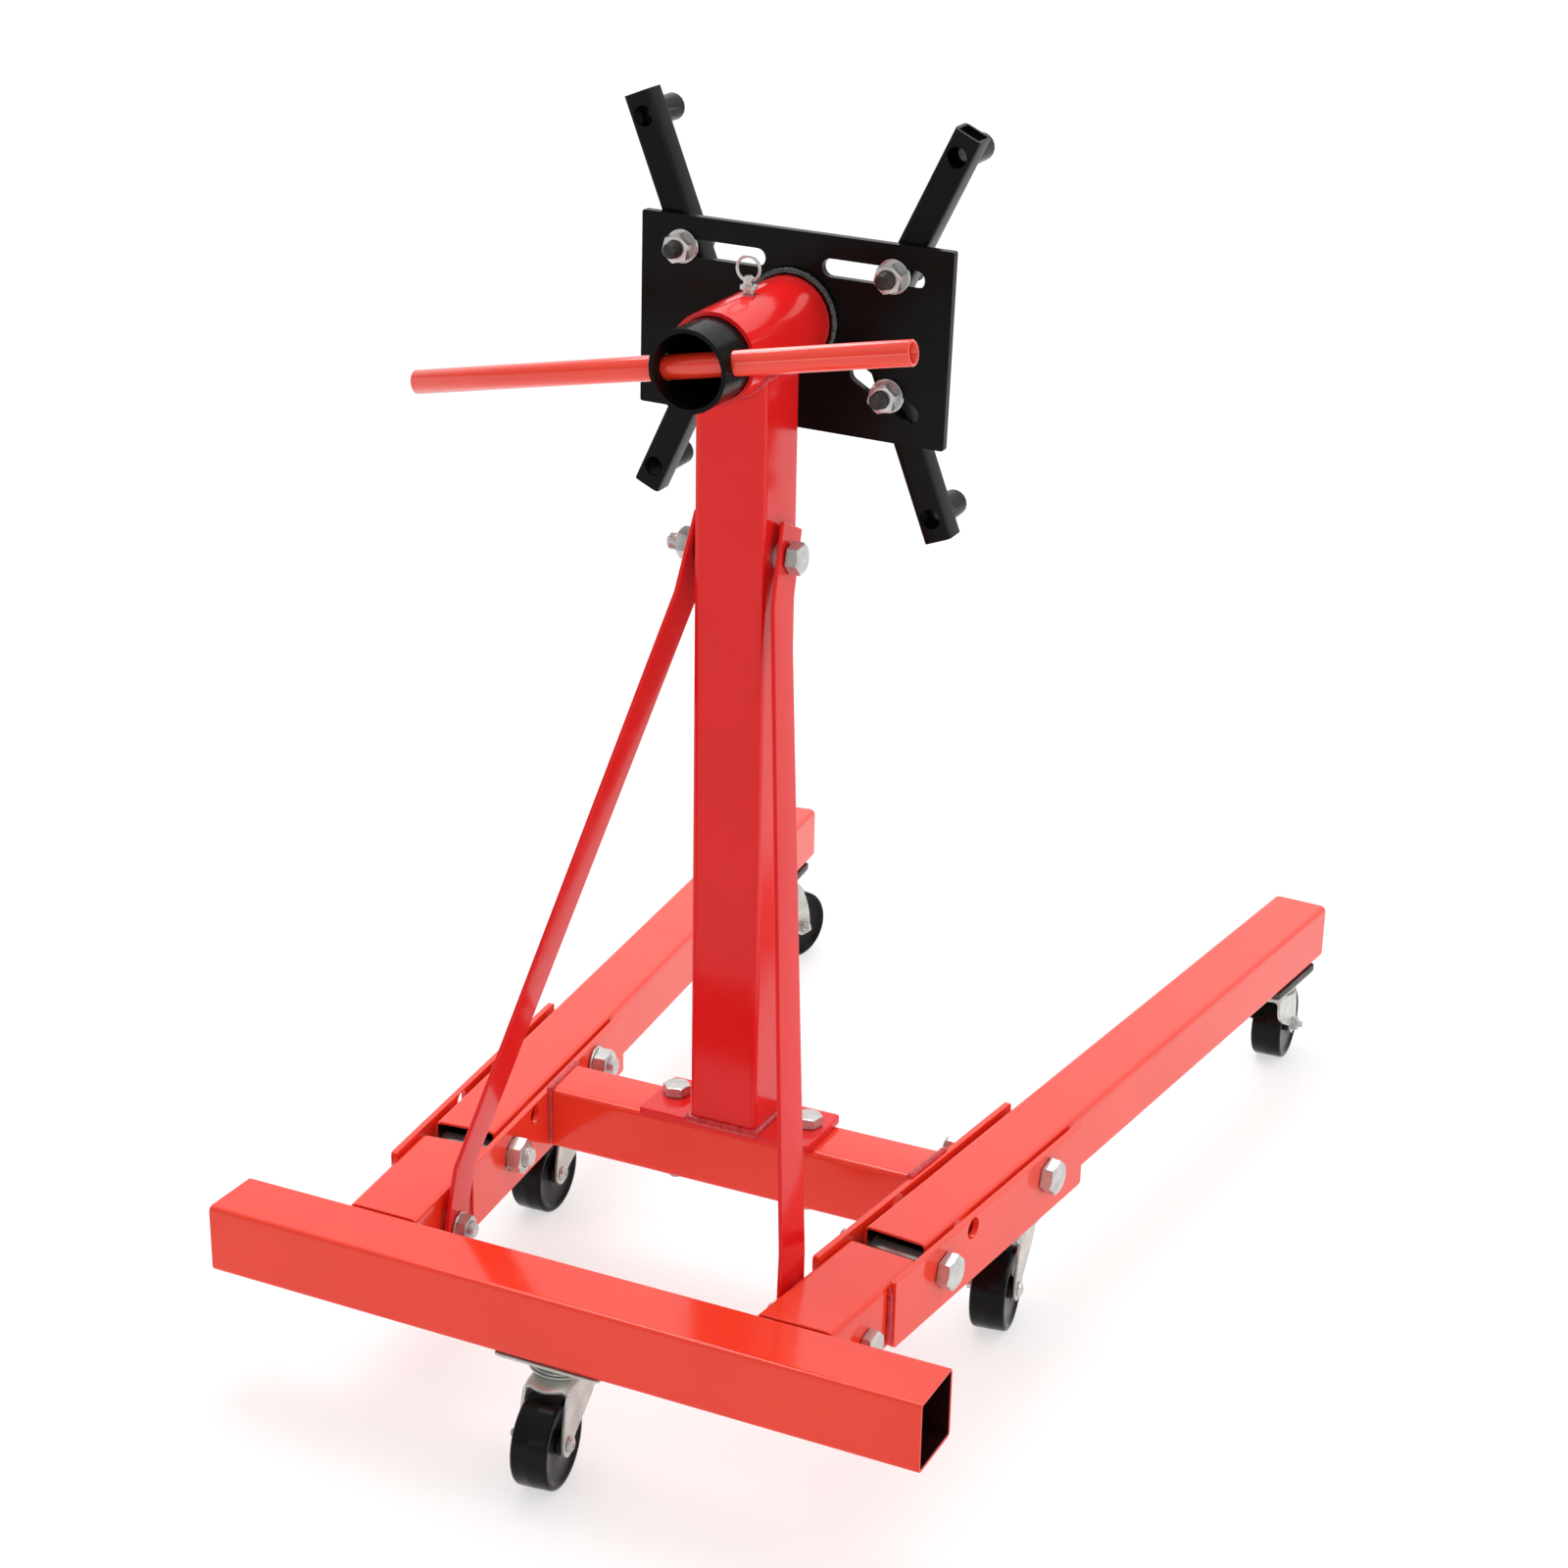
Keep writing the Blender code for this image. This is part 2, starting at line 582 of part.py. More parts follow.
def add_side(name, side, finishes):
    """Stub, side plates, folding leg, its bolts and its two casters on one side."""
    origin = frame(f"side_{name}", (side * STUB_X, REAR_FACE + CROSSBAR_FRONT, 0.0),
                   (0.0, 0.0, -side * SPLAY))
    red = finishes["red"]
    zinc = finishes["zinc"]
    stub_z = STUB_Z + TUBE / 2
    place(stub(side), f"stub_{name}", red, (0, 0, stub_z), parent=origin)
    plate_out = STUB_WIDTH / 2 + GAP + SIDE_PLATE_SHEET / 2
    plate_y = (SIDE_PLATE_START + SIDE_PLATE_END) / 2
    plate_z = SIDE_PLATE_Z + SIDE_PLATE_HEIGHT / 2
    for face, out in (("inner", -plate_out), ("outer", plate_out)):
        place(side_plate(), f"side_plate_{name}_{face}", red,
              (side * out, plate_y, plate_z), parent=origin)
    inward = (0.0, -side * math.radians(90), 0.0)      # bolt axis from outside to inside
    face_out = plate_out + SIDE_PLATE_SHEET / 2
    pivot = bolt(BIG_BOLT_RADIUS, BIG_HEAD, 2 * face_out + GAP, BIG_HEAD_DEPTH,
                 BIG_NUT_DEPTH, BIG_PROUD, washer=BIG_WASHER)
    place(pivot, f"leg_pivot_bolt_{name}", zinc,
          (side * (face_out + GAP), PIVOT_ALONG, PIVOT_Z), inward, origin)
    place(lock_bolt_head(), f"leg_lock_bolt_{name}", zinc,
          (side * (face_out + GAP), LOCK_ALONG, LOCK_Z), inward, origin)
    place(lock_bolt_nut(), f"leg_lock_nut_{name}", zinc,
          (-side * (face_out + GAP), LOCK_ALONG, LOCK_Z), inward, origin)
    spacer_start = STUB_WIDTH + 2 * GAP
    stub_bolt = bolt(BRACE_BOLT_RADIUS, BASE_BOLT_HEAD,
                     spacer_start + STUB_SPACER + BRACE_SHEET + 2 * GAP,
                     BASE_HEAD_DEPTH, BASE_NUT_DEPTH, BASE_PROUD,
                     spacers=((spacer_start, spacer_start + STUB_SPACER),))
    place(stub_bolt, f"brace_stub_bolt_{name}", zinc,
          (side * (STUB_WIDTH / 2 + GAP), STUB_BOLT_ALONG, STUB_BOLT_Z), inward, origin)
    add_caster(f"mid_{name}", origin, (0.0, MID_CASTER_ALONG, CASTER_HEIGHT),
               MID_HEADINGS[name] + side * SPLAY, finishes, MID_PACKING)

    hinge = frame(f"leg_hinge_{name}", (0, PIVOT_ALONG, PIVOT_Z), parent=origin)
    place(leg(), f"leg_{name}", red, parent=hinge)
    add_caster(f"far_{name}", hinge,
               (0, FAR_CASTER_ALONG - PIVOT_ALONG, CASTER_HEIGHT - PIVOT_Z),
               FAR_HEADINGS[name] + side * SPLAY, finishes, FAR_PACKING)


# ---------------------------------------------------------------- post and braces
def post(foot, saddle_frame):
    """Square post, cut at the top to seat the round sleeve; origin at its foot."""
    tube = square_tube(POST, POST, TUBE_CORNER, POST_WALL, 0.0, HEAD_Z - SADDLE_DROP - foot)
    to_post = Matrix.Translation((0, -(REAR_FACE + POST_Y), -foot))
    saddle = moved(prism(circle(SLEEVE_RADIUS + GAP, SADDLE_STEPS), -CUT, CUT), TO_Y)
    moved(saddle, to_post @ saddle_frame)
    bolt_y = brace_bolt_spot().y - POST_Y
    hole = drill(BRACE_BOLT_RADIUS + HOLE_ROOM, (-CUT, bolt_y, BRACE_BOLT_Z - foot),
                 (CUT, bolt_y, BRACE_BOLT_Z - foot))
    return cut(tube, saddle, hole)


def base_plate():
    width, depth, sheet = BASE_PLATE
    plate = prism(rounded_rect(width, depth, BASE_PLATE_CORNER), 0.0, sheet)
    bolt_y = BASE_BOLT_Y - BASE_PLATE_Y
    return cut(plate, *[drill(BASE_BOLT_RADIUS + HOLE_ROOM, (sx * BASE_BOLT_X, bolt_y, -BITE),
                              (sx * BASE_BOLT_X, bolt_y, BITE)) for sx in (-1, 1)])


def brace_bolt_spot():
    """Middle of the right-hand bar where the post bolt passes through it."""
    low = Vector(BRACE_TOP_BEND)
    high = Vector(BRACE_TOP)
    return low.lerp(high, (BRACE_BOLT_Z - low.z) / (high.z - low.z))


def brace_stations():
    """Middle points of the right-hand bar from foot to top, each with its outward side."""
    splay_out = Vector((math.cos(SPLAY), -math.sin(SPLAY), 0.0))
    splay_along = Vector((math.sin(SPLAY), math.cos(SPLAY), 0.0))
    foot_out = STUB_WIDTH / 2 + STUB_SPACER + 2 * GAP + BRACE_SHEET / 2
    foot = (Vector((STUB_X, CROSSBAR_FRONT, STUB_BOLT_Z)) + STUB_BOLT_ALONG * splay_along
            - foot_out * splay_out)
    lean = (BRACE_FOOT_LEAN * splay_along + Vector((0.0, 0.0, 1.0))).normalized()
    to_right = Vector((1.0, 0.0, 0.0))
    return foot, splay_out, [
        (foot - BRACE_FOOT_BELOW * lean, splay_out), (foot + BRACE_FOOT_ABOVE * lean, splay_out),
        (Vector(BRACE_LOW_BEND), splay_out), (Vector(BRACE_TOP_BEND), to_right),
        (Vector(BRACE_TOP), to_right),
    ]


def brace(side):
    """Flat bar from beside the post, bent out and down to the stub's inner face."""
    foot, splay_out, stations = brace_stations()
    bm = bmesh.new()
    rings = []
    for index, (centre, outward) in enumerate(stations):
        before = stations[max(index - 1, 0)][0]
        after = stations[min(index + 1, len(stations) - 1)][0]
        run = (after - before).normalized()
        across = run.cross(outward).normalized()
        thick = across.cross(run) * (BRACE_SHEET / 2)
        across *= BRACE_WIDTH / 2
        rings.append([bm.verts.new(centre + a * across + b * thick)
                      for a, b in ((1, 1), (-1, 1), (-1, -1), (1, -1))])
    for a, b in zip(rings, rings[1:]):
        for i in range(4):
            bm.faces.new((a[i], a[(i + 1) % 4], b[(i + 1) % 4], b[i]))
    bm.faces.new(rings[0])
    bm.faces.new(rings[-1])
    top_hole = brace_bolt_spot()
    reach = Vector((BITE, 0.0, 0.0))
    hole = BRACE_BOLT_RADIUS + HOLE_ROOM
    bar = cut(solid("brace", bm),
              drill(hole, foot - BITE * splay_out, foot + BITE * splay_out),
              drill(hole, top_hole - reach, top_hole + reach))
    if side < 0:
        moved(bar, Matrix.Scale(-1, 4, (1, 0, 0)))
        bar.data.flip_normals()
    return moved(bar, Matrix.Translation((0, REAR_FACE, 0)))


def add_post(finishes, head):
    red = finishes["red"]
    zinc = finishes["zinc"]
    plate_z = CROSSMEMBER_Z + TUBE + GAP
    plate_y = REAR_FACE + BASE_PLATE_Y
    member_y = REAR_FACE + CROSSMEMBER_Y + TUBE / 2
    place(crossmember(), "crossmember", red, (0, member_y, CROSSMEMBER_Z + TUBE / 2))
    place(base_plate(), "post_base_plate", red, (0, plate_y, plate_z))
    foot = plate_z + BASE_PLATE[2] + GAP
    place(post(foot, head.matrix_world), "post", red, (0, REAR_FACE + POST_Y, foot))
    down = (math.radians(180), 0.0, 0.0)
    for name, side in SIDES:
        fastener = bolt(BASE_BOLT_RADIUS, BASE_BOLT_HEAD, TUBE + BASE_PLATE[2] + 3 * GAP,
                        BASE_HEAD_DEPTH, BASE_NUT_DEPTH, BASE_PROUD)
        place(fastener, f"post_base_bolt_{name}", zinc,
              (side * BASE_BOLT_X, REAR_FACE + BASE_BOLT_Y, plate_z + BASE_PLATE[2] + GAP), down)
        place(brace(side), f"brace_{name}", red)
    spot = brace_bolt_spot()
    grip = 2 * (spot.x + BRACE_SHEET / 2 + BRACE_TILT_ROOM)
    near = grip / 2 - POST / 2 - GAP
    far = grip / 2 + POST / 2 + GAP
    top_bolt = bolt(BRACE_BOLT_RADIUS, BRACE_BOLT_HEAD, grip, BRACE_HEAD_DEPTH,
                    BRACE_NUT_DEPTH, BRACE_PROUD,
                    spacers=((near - POST_SPACER, near), (far, far + POST_SPACER)))
    place(top_bolt, "brace_post_bolt", zinc,
          (grip / 2, REAR_FACE + spot.y, BRACE_BOLT_Z), (0, math.radians(-90), 0))


# ---------------------------------------------------------------- head
def sleeve():
    tube = moved(round_tube(SLEEVE_RADIUS, SLEEVE_BORE, SLEEVE_REAR, SLEEVE_FRONT,
                            TURNED_STEPS), TO_Y)
    return cut(tube, drill(INDEX_HOLE_RADIUS, (0, 0, SLEEVE_BORE - BITE),
                           (0, 0, SLEEVE_BORE + BITE)))


def head_tube():
    """Turning tube with index holes round its middle and a cross hole for the handle bar."""
    tube = moved(round_tube(HEAD_TUBE_RADIUS, HEAD_TUBE_BORE, HEAD_TUBE_REAR,
                            PLATE_REAR - GAP, TURNED_STEPS), TO_Y)
    cutters = []
    for index in range(INDEX_HOLES):
        angle = 2 * math.pi * index / INDEX_HOLES - HEAD_TURN
        radial = Vector((math.sin(angle), 0.0, math.cos(angle)))
        cutters.append(drill(INDEX_HOLE_RADIUS, radial * (HEAD_TUBE_BORE - BITE / 2),
                             radial * (HEAD_TUBE_BORE + BITE), SHANK_STEPS))
    along = bar_direction()
    centre = Vector((0.0, BAR_AXIS_PLACE, 0.0))
    cutters.append(drill(BAR_HOLE_RADIUS, centre - CUT * along, centre + CUT * along))
    return cut(tube, *cutters)


def bar_direction():
    """The handle bar's direction in the turning head's frame."""
    angle = BAR_TILT + HEAD_TURN
    return Vector((math.cos(angle), 0.0, math.sin(angle)))


def slot_cutter(slot, side):
    (x0, z0), (x1, z1) = slot
    middle = ((x0 + x1) / 2 * side, (z0 + z1) / 2)
    length = math.hypot(x1 - x0, z1 - z0) + SLOT_WIDTH
    tilt = math.atan2((z1 - z0) * side, x1 - x0)
    body = prism(rounded_rect(length, SLOT_WIDTH, SLOT_WIDTH * 0.497, 4), -BITE, BITE)
    # the outline's y becomes the plate's Z
    upright = Matrix.Rotation(math.radians(90), 4, "X")
    turn = Matrix.Rotation(-tilt, 4, "Y")
    return moved(body, Matrix.Translation((middle[0], PLATE_REAR + PLATE_SHEET / 2, middle[1]))
                 @ turn @ upright)


def head_plate():
    plate = prism(rounded_rect(PLATE_WIDTH, PLATE_HEIGHT, PLATE_EDGE), -PLATE_SHEET / 2,
                  PLATE_SHEET / 2)
    moved(plate, Matrix.Translation((0, PLATE_REAR + PLATE_SHEET / 2, -PLATE_DROP)) @ TO_Y)
    cutters = [slot_cutter(slot, side) for slot in (UPPER_SLOT, LOWER_SLOT) for side in (-1, 1)]
    return cut(plate, *cutters)


def arm():
    """Mounting arm; origin on the stud's axis at the arm's rear face, reaching along +Z."""
    middle = ARM / 2
    tube = square_tube(ARM, ARM, ARM_CORNER, ARM_WALL, -ARM_TAIL, ARM_REACH)
    moved(tube, Matrix.Translation((0, middle, 0)))
    boss_z = ARM_REACH - ARM_BOSS_FROM_END
    boss = drill(ARM_BOSS_RADIUS, (0, ARM - ARM_BOSS_BITE, boss_z),
                 (0, ARM + ARM_BOSS_LENGTH, boss_z))
    tube = fuse(tube, boss)
    return cut(tube,
               drill(ARM_BOSS_BORE, (0, middle, boss_z), (0, CUT, boss_z)),
               drill(ARM_REAR_HOLE, (0, -BITE, boss_z), (0, middle, boss_z)),
               drill(STUD_RADIUS + FINE_ROOM, (0, -BITE, 0), (0, ARM + BITE, 0)))


def arm_stud():
    """Stud through arm and plate along -Y, with its head in front and washer and nut behind."""
    grip = ARM + PLATE_SHEET + 4 * GAP
    body = bolt(STUD_RADIUS, STUD_HEAD, grip, STUD_HEAD_DEPTH, NUT_DEPTH, STUD_PROUD,
                washer=(WASHER_RADIUS, WASHER_SHEET))
    backwards = Matrix.Rotation(math.radians(90), 4, "X")      # Z axis to -Y
    return moved(body, Matrix.Translation((0, ARM + 2 * GAP, 0)) @ backwards)


def stud_place(side, slot, share):
    (x0, z0), (x1, z1) = slot
    return (side * (x0 + share * (x1 - x0)), PLATE_FRONT + GAP, z0 + share * (z1 - z0))


def lock_pin():
    """Lock pin along Z: tip, collar and an eye for its ring; heights are from the head's axis."""
    eye_top = PIN_EYE + PIN_EYE_ABOVE
    collar_top = PIN_COLLAR + PIN_COLLAR_DEPTH
    body = lathe(((0.0, PIN_TIP), (PIN_RADIUS - 0.001, PIN_TIP), (PIN_RADIUS, PIN_TIP + 0.0012),
                  (PIN_RADIUS, PIN_COLLAR), (PIN_COLLAR_RADIUS, PIN_COLLAR),
                  (PIN_COLLAR_RADIUS, collar_top), (PIN_NECK_RADIUS, collar_top + 0.0008),
                  (PIN_NECK_RADIUS, eye_top - 0.0015), (PIN_NECK_RADIUS - 0.0015, eye_top),
                  (0.0, eye_top)))
    return cut(body, drill(PIN_EYE_RADIUS, (-BITE, 0, PIN_EYE), (BITE, 0, PIN_EYE), SHANK_STEPS))


def pin_ring():
    """Ring standing above the pin; origin on its swing axis, at the pin's eye."""
    major = 20
    minor = 6
    bm = bmesh.new()
    rings = []
    for i in range(major):
        turn = 2 * math.pi * i / major
        out = Vector((math.cos(turn), 0.0, math.sin(turn)))
        ring = []
        for j in range(minor):
            roll = 2 * math.pi * j / minor
            radial = out * (RING_RADIUS + RING_WIRE * math.cos(roll))
            ring.append(bm.verts.new(radial + Vector((0, RING_WIRE * math.sin(roll), RING_RADIUS))))
        rings.append(ring)
    for i in range(major):
        for j in range(minor):
            a = rings[i]
            b = rings[(i + 1) % major]
            bm.faces.new((a[j], a[(j + 1) % minor], b[(j + 1) % minor], b[j]))
    return solid("ring", bm)


def add_head(finishes, head):
    black = finishes["black"]
    place(sleeve(), "head_sleeve", finishes["red"], parent=head)
    rotor = frame("head_rotor", (0, 0, 0), (0.0, HEAD_TURN, 0.0), head)
    place(head_tube(), "head_tube", black, parent=rotor)
    place(head_plate(), "head_plate", black, parent=rotor)
    for name, side, slot, share, lean in ARMS:
        spot = stud_place(side, slot, share)
        place(arm_stud(), f"arm_stud_{name}", finishes["zinc"], spot, parent=rotor)
        place(arm(), f"arm_{name}", black, spot, (0.0, lean, 0.0), rotor)
    along = bar_direction()
    bar_spot = Vector((0.0, BAR_AXIS_PLACE, 0.0)) + BAR_OFFSET * along
    half = BAR_LENGTH / 2
    bar = moved(round_tube(BAR_RADIUS, BAR_BORE, -half, half), TO_X)
    place(bar, "handle_bar", finishes["red"], bar_spot, (0.0, -(BAR_TILT + HEAD_TURN), 0.0), rotor)
    place(lock_pin(), "lock_pin", finishes["zinc"], parent=head)
    place(pin_ring(), "lock_pin_ring", finishes["zinc"], (0, 0, PIN_EYE), parent=head)


def build():
    for obj in list(bpy.data.objects):
        bpy.data.objects.remove(obj)
    finishes = {
        "red": paint("red_enamel", (0.62, 0.012, 0.010), 0.22),
        "black": paint("black_enamel", (0.012, 0.012, 0.012), 0.35),
        "zinc": paint("zinc_plate", (0.62, 0.62, 0.60), 0.32, 1.0),
        "tread": paint("black_polymer", (0.014, 0.014, 0.015), 0.40),
    }
    crossbar_spot = (0, REAR_FACE + CROSSBAR / 2, CROSSBAR_Z + CROSSBAR / 2)
    place(crossbar(), "rear_crossbar", finishes["red"], crossbar_spot)
    rear = frame("rear_mount", (0, REAR_FACE + REAR_CASTER_Y, CASTER_HEIGHT))
    add_caster("rear", rear, (0, 0, 0), REAR_CASTER_HEADING, finishes,
               plate_turn=REAR_PLATE_TURN)
    for name, side in SIDES:
        add_side(name, side, finishes)
    head = frame("head_axis", (0, REAR_FACE + HEAD_Y, HEAD_Z), (HEAD_TILT, 0.0, 0.0))
    bpy.context.view_layer.update()
    add_post(finishes, head)
    add_head(finishes, head)


build()
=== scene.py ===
"""Looks of a folding engine stand: enamel, plated fasteners, casters and weld beads.

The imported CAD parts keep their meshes. Everything is in metres in the stand's own frame: +Z up and
+Y from the rear crossbar towards the engine.
"""
import json
import math
import random

import bmesh
import bpy
from mathutils import Matrix, Vector


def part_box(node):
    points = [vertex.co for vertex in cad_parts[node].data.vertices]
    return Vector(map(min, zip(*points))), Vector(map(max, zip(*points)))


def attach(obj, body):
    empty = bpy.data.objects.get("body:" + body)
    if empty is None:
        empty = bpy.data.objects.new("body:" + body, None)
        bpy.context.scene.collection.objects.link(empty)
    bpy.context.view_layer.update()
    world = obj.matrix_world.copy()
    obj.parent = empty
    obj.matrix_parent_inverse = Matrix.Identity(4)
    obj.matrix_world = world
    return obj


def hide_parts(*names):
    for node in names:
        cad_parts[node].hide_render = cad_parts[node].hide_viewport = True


# ---------------------------------------------------------------- sizes
PIVOT_ALONG = 0.186           # leg pivot, along a leg from the crossbar's front face
SPLAY = math.radians(6.25)    # each leg points outwards by this angle
HEAD_TURN = math.radians(2.6)         # how far the turning head stands from level
POST_HALF = 0.0353            # half width of the post, with a little room
TUBE_WALL = 0.003
WALL_SHARE = 0.0002           # how much of a wall the painted shade inside a tube takes in
DOUBLES = 1e-6                # a piece's points closer than this become one
CAD_DOUBLES = 1e-5            # and a CAD part's, in a modifier
EDGE_ROUND = 0.0011           # softened edges of the CAD parts
EDGE_ANGLE = math.radians(40)

# fasteners: size across flats, head depth, shank radius, nut depth, thread past the nut, and the
# depth and radius of the washer, which adds to the nut's depth if it is loose
LEG_BOLT = {"flats": 0.030, "head": 0.0125, "radius": 0.0097, "nut": 0.0145, "proud": 0.0060,
            "washer": 0.0028, "flange": 0.0185, "loose": True}
BASE_BOLT = {"flats": 0.024, "head": 0.0100, "radius": 0.0078, "nut": 0.0120, "proud": 0.0050,
             "washer": 0.0022, "flange": 0.0148, "loose": False}
BRACE_BOLT = {"flats": 0.026, "head": 0.0120, "radius": 0.0078, "nut": 0.0130, "proud": 0.0120,
              "washer": 0.0022, "flange": 0.0150, "loose": False}
ARM_STUD = {"flats": 0.024, "head": 0.0090, "radius": 0.0074, "nut": 0.0130, "proud": 0.0110,
            "washer": 0.0030, "flange": 0.0160, "loose": True}
SPACER_RADIUS = 0.0125
SPACER_WALL = 0.004
POST_SPACER = 0.0055
STUB_SPACER = 0.0045
BRACE_GRIP = 0.0044           # what a brace takes up along its stub bolt
THREAD_PITCH = 0.0020
THREAD_DEPTH = 0.0009
THREAD_STEPS = 32
THREAD_SLICES = 6             # rings for each turn of the thread
THREAD_POINT = 0.0015         # length of the turned-down end
THREAD_IN_NUT = 0.0020
TIP_DEPTH = 1.6               # how much smaller the thread's tip is, in thread depths
HEX_STEPS = 60
HEX_END = 0.96                # flat end of a hexagon, as a share of the size across its flats
HEX_TOP = 0.93                # slightly raised top of a head, as a share of the flat end
HEX_CHAMFER = math.radians(28)
HEX_RISE = 0.0001             # how far that top is raised
COUNTERSINK = (0.0012, 0.0004, 0.0014)      # past the bore, into the bore, depth
FACE_SHARE = 0.47             # radius of the face under a head, as a share of its flats
FACE_DEPTH = 0.0007
FACE_TO_HEX = 0.0005          # the hexagon starts inside its washer face
NUT_SINK = 0.0002             # and a nut inside its washer
SHANK_SINK = 0.001            # a shank ends inside the head and the nut
LOCK_SHANK_END = 0.010        # below the top of a lock bolt's head
LOCK_SHANK_SINK = 0.002       # and its other shank ends inside the washer
FLANGE_EDGE = 0.0008
ROUND_STEPS = 48

# handle bar and pull ring
BAR_RADIUS = 0.0110
BAR_BORE = 0.0085
BAR_RIM = 0.0008
RING_WIRE = 0.0014
RING_STEPS = 64
WIRE_STEPS = 16

# casters, measured from the mounting face down
CASTER_TAGS = ("rear", "mid_left", "mid_right", "far_left", "far_right")
CASTER_TRAIL = 0.038
WHEEL_RADIUS = 0.042
WHEEL_HALF = 0.0172
WHEEL_SHOULDER = 0.0038
SHOULDER_STEPS = 6
WHEEL_STEPS = 96
MOULD_SEAM = (0.0008, 0.00018)        # half width, height
AXLE_DROP = 0.0675
WHEEL_BORE = 0.0044
AXLE_RADIUS = 0.0040
AXLE_STEPS = 24
AXLE_HEAD_STEPS = 32
# axle nut: across flats, flange radius, then distances out from the fork
AXLE_NUT = {"flats": 0.013, "flange": 0.0080, "flange_top": 0.0011, "low": 0.0009,
            "high": 0.0066, "thread": 0.0040, "tip": 0.0116}
PLATE_SIZE = (0.063, 0.105, 0.003)
PLATE_RIM = 0.0006
PLATE_CORNER = 0.006
PLATE_CORNER_STEPS = 6
PLATE_GAP = 0.0003            # the plate stops short of the face above it
PACKING_SINK = 0.0002
PACKING = {"mid": (0.0720, 0.105, 0.0070), "far": (0.0645, 0.105, 0.0072)}
PACKING_CORNER = 0.004
CROWN_TOP = -0.0124
FORK_SHEET = 0.0028
FORK_HALF = 0.02015           # kingpin axis to the middle of a leg's sheet
FORK_BEND = 0.0060
FORK_RIM = 0.0008
FORK_COLUMNS = 10
# steps along the fork's sheet: round the eye, up the leg, over the bend, along the crown
EYE_STEPS = 12
LEG_STEPS = 12
BEND_STEPS = 6
CROWN_STEPS = 5
EYE_RADIUS = 0.0115
# fork leg outline below the crown: height, front edge, rear edge
LEG_EDGES = ((-0.0660, -0.0495, -0.0255), (-0.0600, -0.0490, -0.0125), (-0.0520, -0.0480, 0.0040),
             (-0.0440, -0.0462, 0.0180), (-0.0360, -0.0438, 0.0270), (-0.0280, -0.0408, 0.0315),
             (-0.0200, -0.0376, 0.0325), (-0.0130, -0.0350, 0.0305))
SHOULDER_SHIFT = 0.0015       # how far the sheet moves forwards over its bend
CROWN_BULGE = 0.0045          # crown's swell forwards at the middle, and its share to the rear
REAR_BULGE_SHARE = 0.4
LIP_DROP = 0.0034             # how far the crown's front lip is pressed down
LIP_START = 0.027             # from the kingpin forwards
LIP_RUN = 0.010
LIP_BELOW = 0.014             # lowest height that the press reaches, under the crown
LIP_RISE = 0.012
# turned outlines: radius, height
FORK_RACE = ((0.0120, 0.0002), (0.0290, 0.0002), (0.0300, 0.0008), (0.0296, 0.0018),
             (0.0265, 0.0022), (0.0120, 0.0022))              # above the crown
UPPER_RACE = ((0.0170, -0.0025), (0.0222, -0.0030), (0.0222, -0.0040), (0.0226, -0.0056),
              (0.0238, -0.0070), (0.0258, -0.0080), (0.0276, -0.0086), (0.0280, -0.0093),
              (0.0272, -0.0099), (0.0215, -0.0096), (0.0180, -0.0100))
KINGPIN_TOP = (0.0060, -0.0092)
KINGPIN_HEAD = ((0.0060, 0.0), (0.0100, -0.0004), (0.0096, -0.0022), (0.0070, -0.0034),
                (0.0030, -0.0037))                            # below the crown's sheet
AXLE_HEAD = ((0.0050, 0.0), (0.0072, 0.0002), (0.0074, 0.0010), (0.0064, 0.0030),
             (0.0042, 0.0041), (0.0030, 0.0042), (0.0024, 0.0030))    # out from the fork
WHEEL_FACE = ((WHEEL_BORE, 0.0006), (0.0094, 0.0006), (0.0104, -0.0002), (0.0112, -0.0026),
              (0.0140, -0.0034), (0.0310, -0.0030), (0.0340, -0.0022), (0.0358, -0.0006),
              (0.0370, -0.0001))                              # out from the tread's edge

# weld beads
BEAD_STEP = 0.0007
BEAD_RIPPLE = 0.0026
BEAD_SIDES = 12
BEAD_SCALLOP = (0.86, 0.20)   # least radius and the scallop's swell, as shares of the bead's
BEAD_WOBBLE = (0.9, 0.1, 0.35)        # kept from the last step, drawn anew, share of the radius
BEAD_TAPER = (0.35, 2.5)      # share left at an open end, which grows by 1 in so many radii
UPRIGHT_RUN = 0.9             # a run steeper than this takes any direction across it
BEAD_RADIUS = {"foot": 0.0042, "saddle": 0.0028, "head": 0.0040, "stub": 0.0030, "plate": 0.0036,
               "member": 0.0032}
FOOT_WELD_RISE = 0.0008
SADDLE_RADIUS = 0.0412
SADDLE_HALF = 0.0352
SADDLE_STEPS = 14
HEAD_WELD_RADIUS = 0.0432
HEAD_WELD_ALONG = 0.0816
HEAD_WELD_STEPS = 60
# on a leg's line: distance to its side, distance along it, and heights of the ends
STUB_WELD = (0.0362, 0.0006, 0.1150, 0.1717)
PLATE_WELD = (0.0368, 0.0975, 0.1180, 0.1745)
MEMBER_WELD_OUT = 0.0428
MEMBER_WELD_RISE = 0.004

# surfaces
# painted shade: near black colour for the inside walls of the open tubes
TUBE_INSIDE_SHADE = (0.020, 0.004, 0.004)
CLOUD_START = 0.32            # the part of a noise's range that the tint follows
CLOUD_SPAN = 0.36
CLOUD_DETAIL = 4.0
WEAR_RANGE = (0.3, 0.7)       # and the part that roughness follows
WEAR_SCALE = 45.0
WEAR_DETAIL = 6.0
GRAIN_DETAIL = 2.0
# sockets of a mix node in its colour mode: factor, first and second colour, and the result
MIX_FACTOR, MIX_FIRST, MIX_SECOND, MIX_RESULT = 0, 6, 7, 2

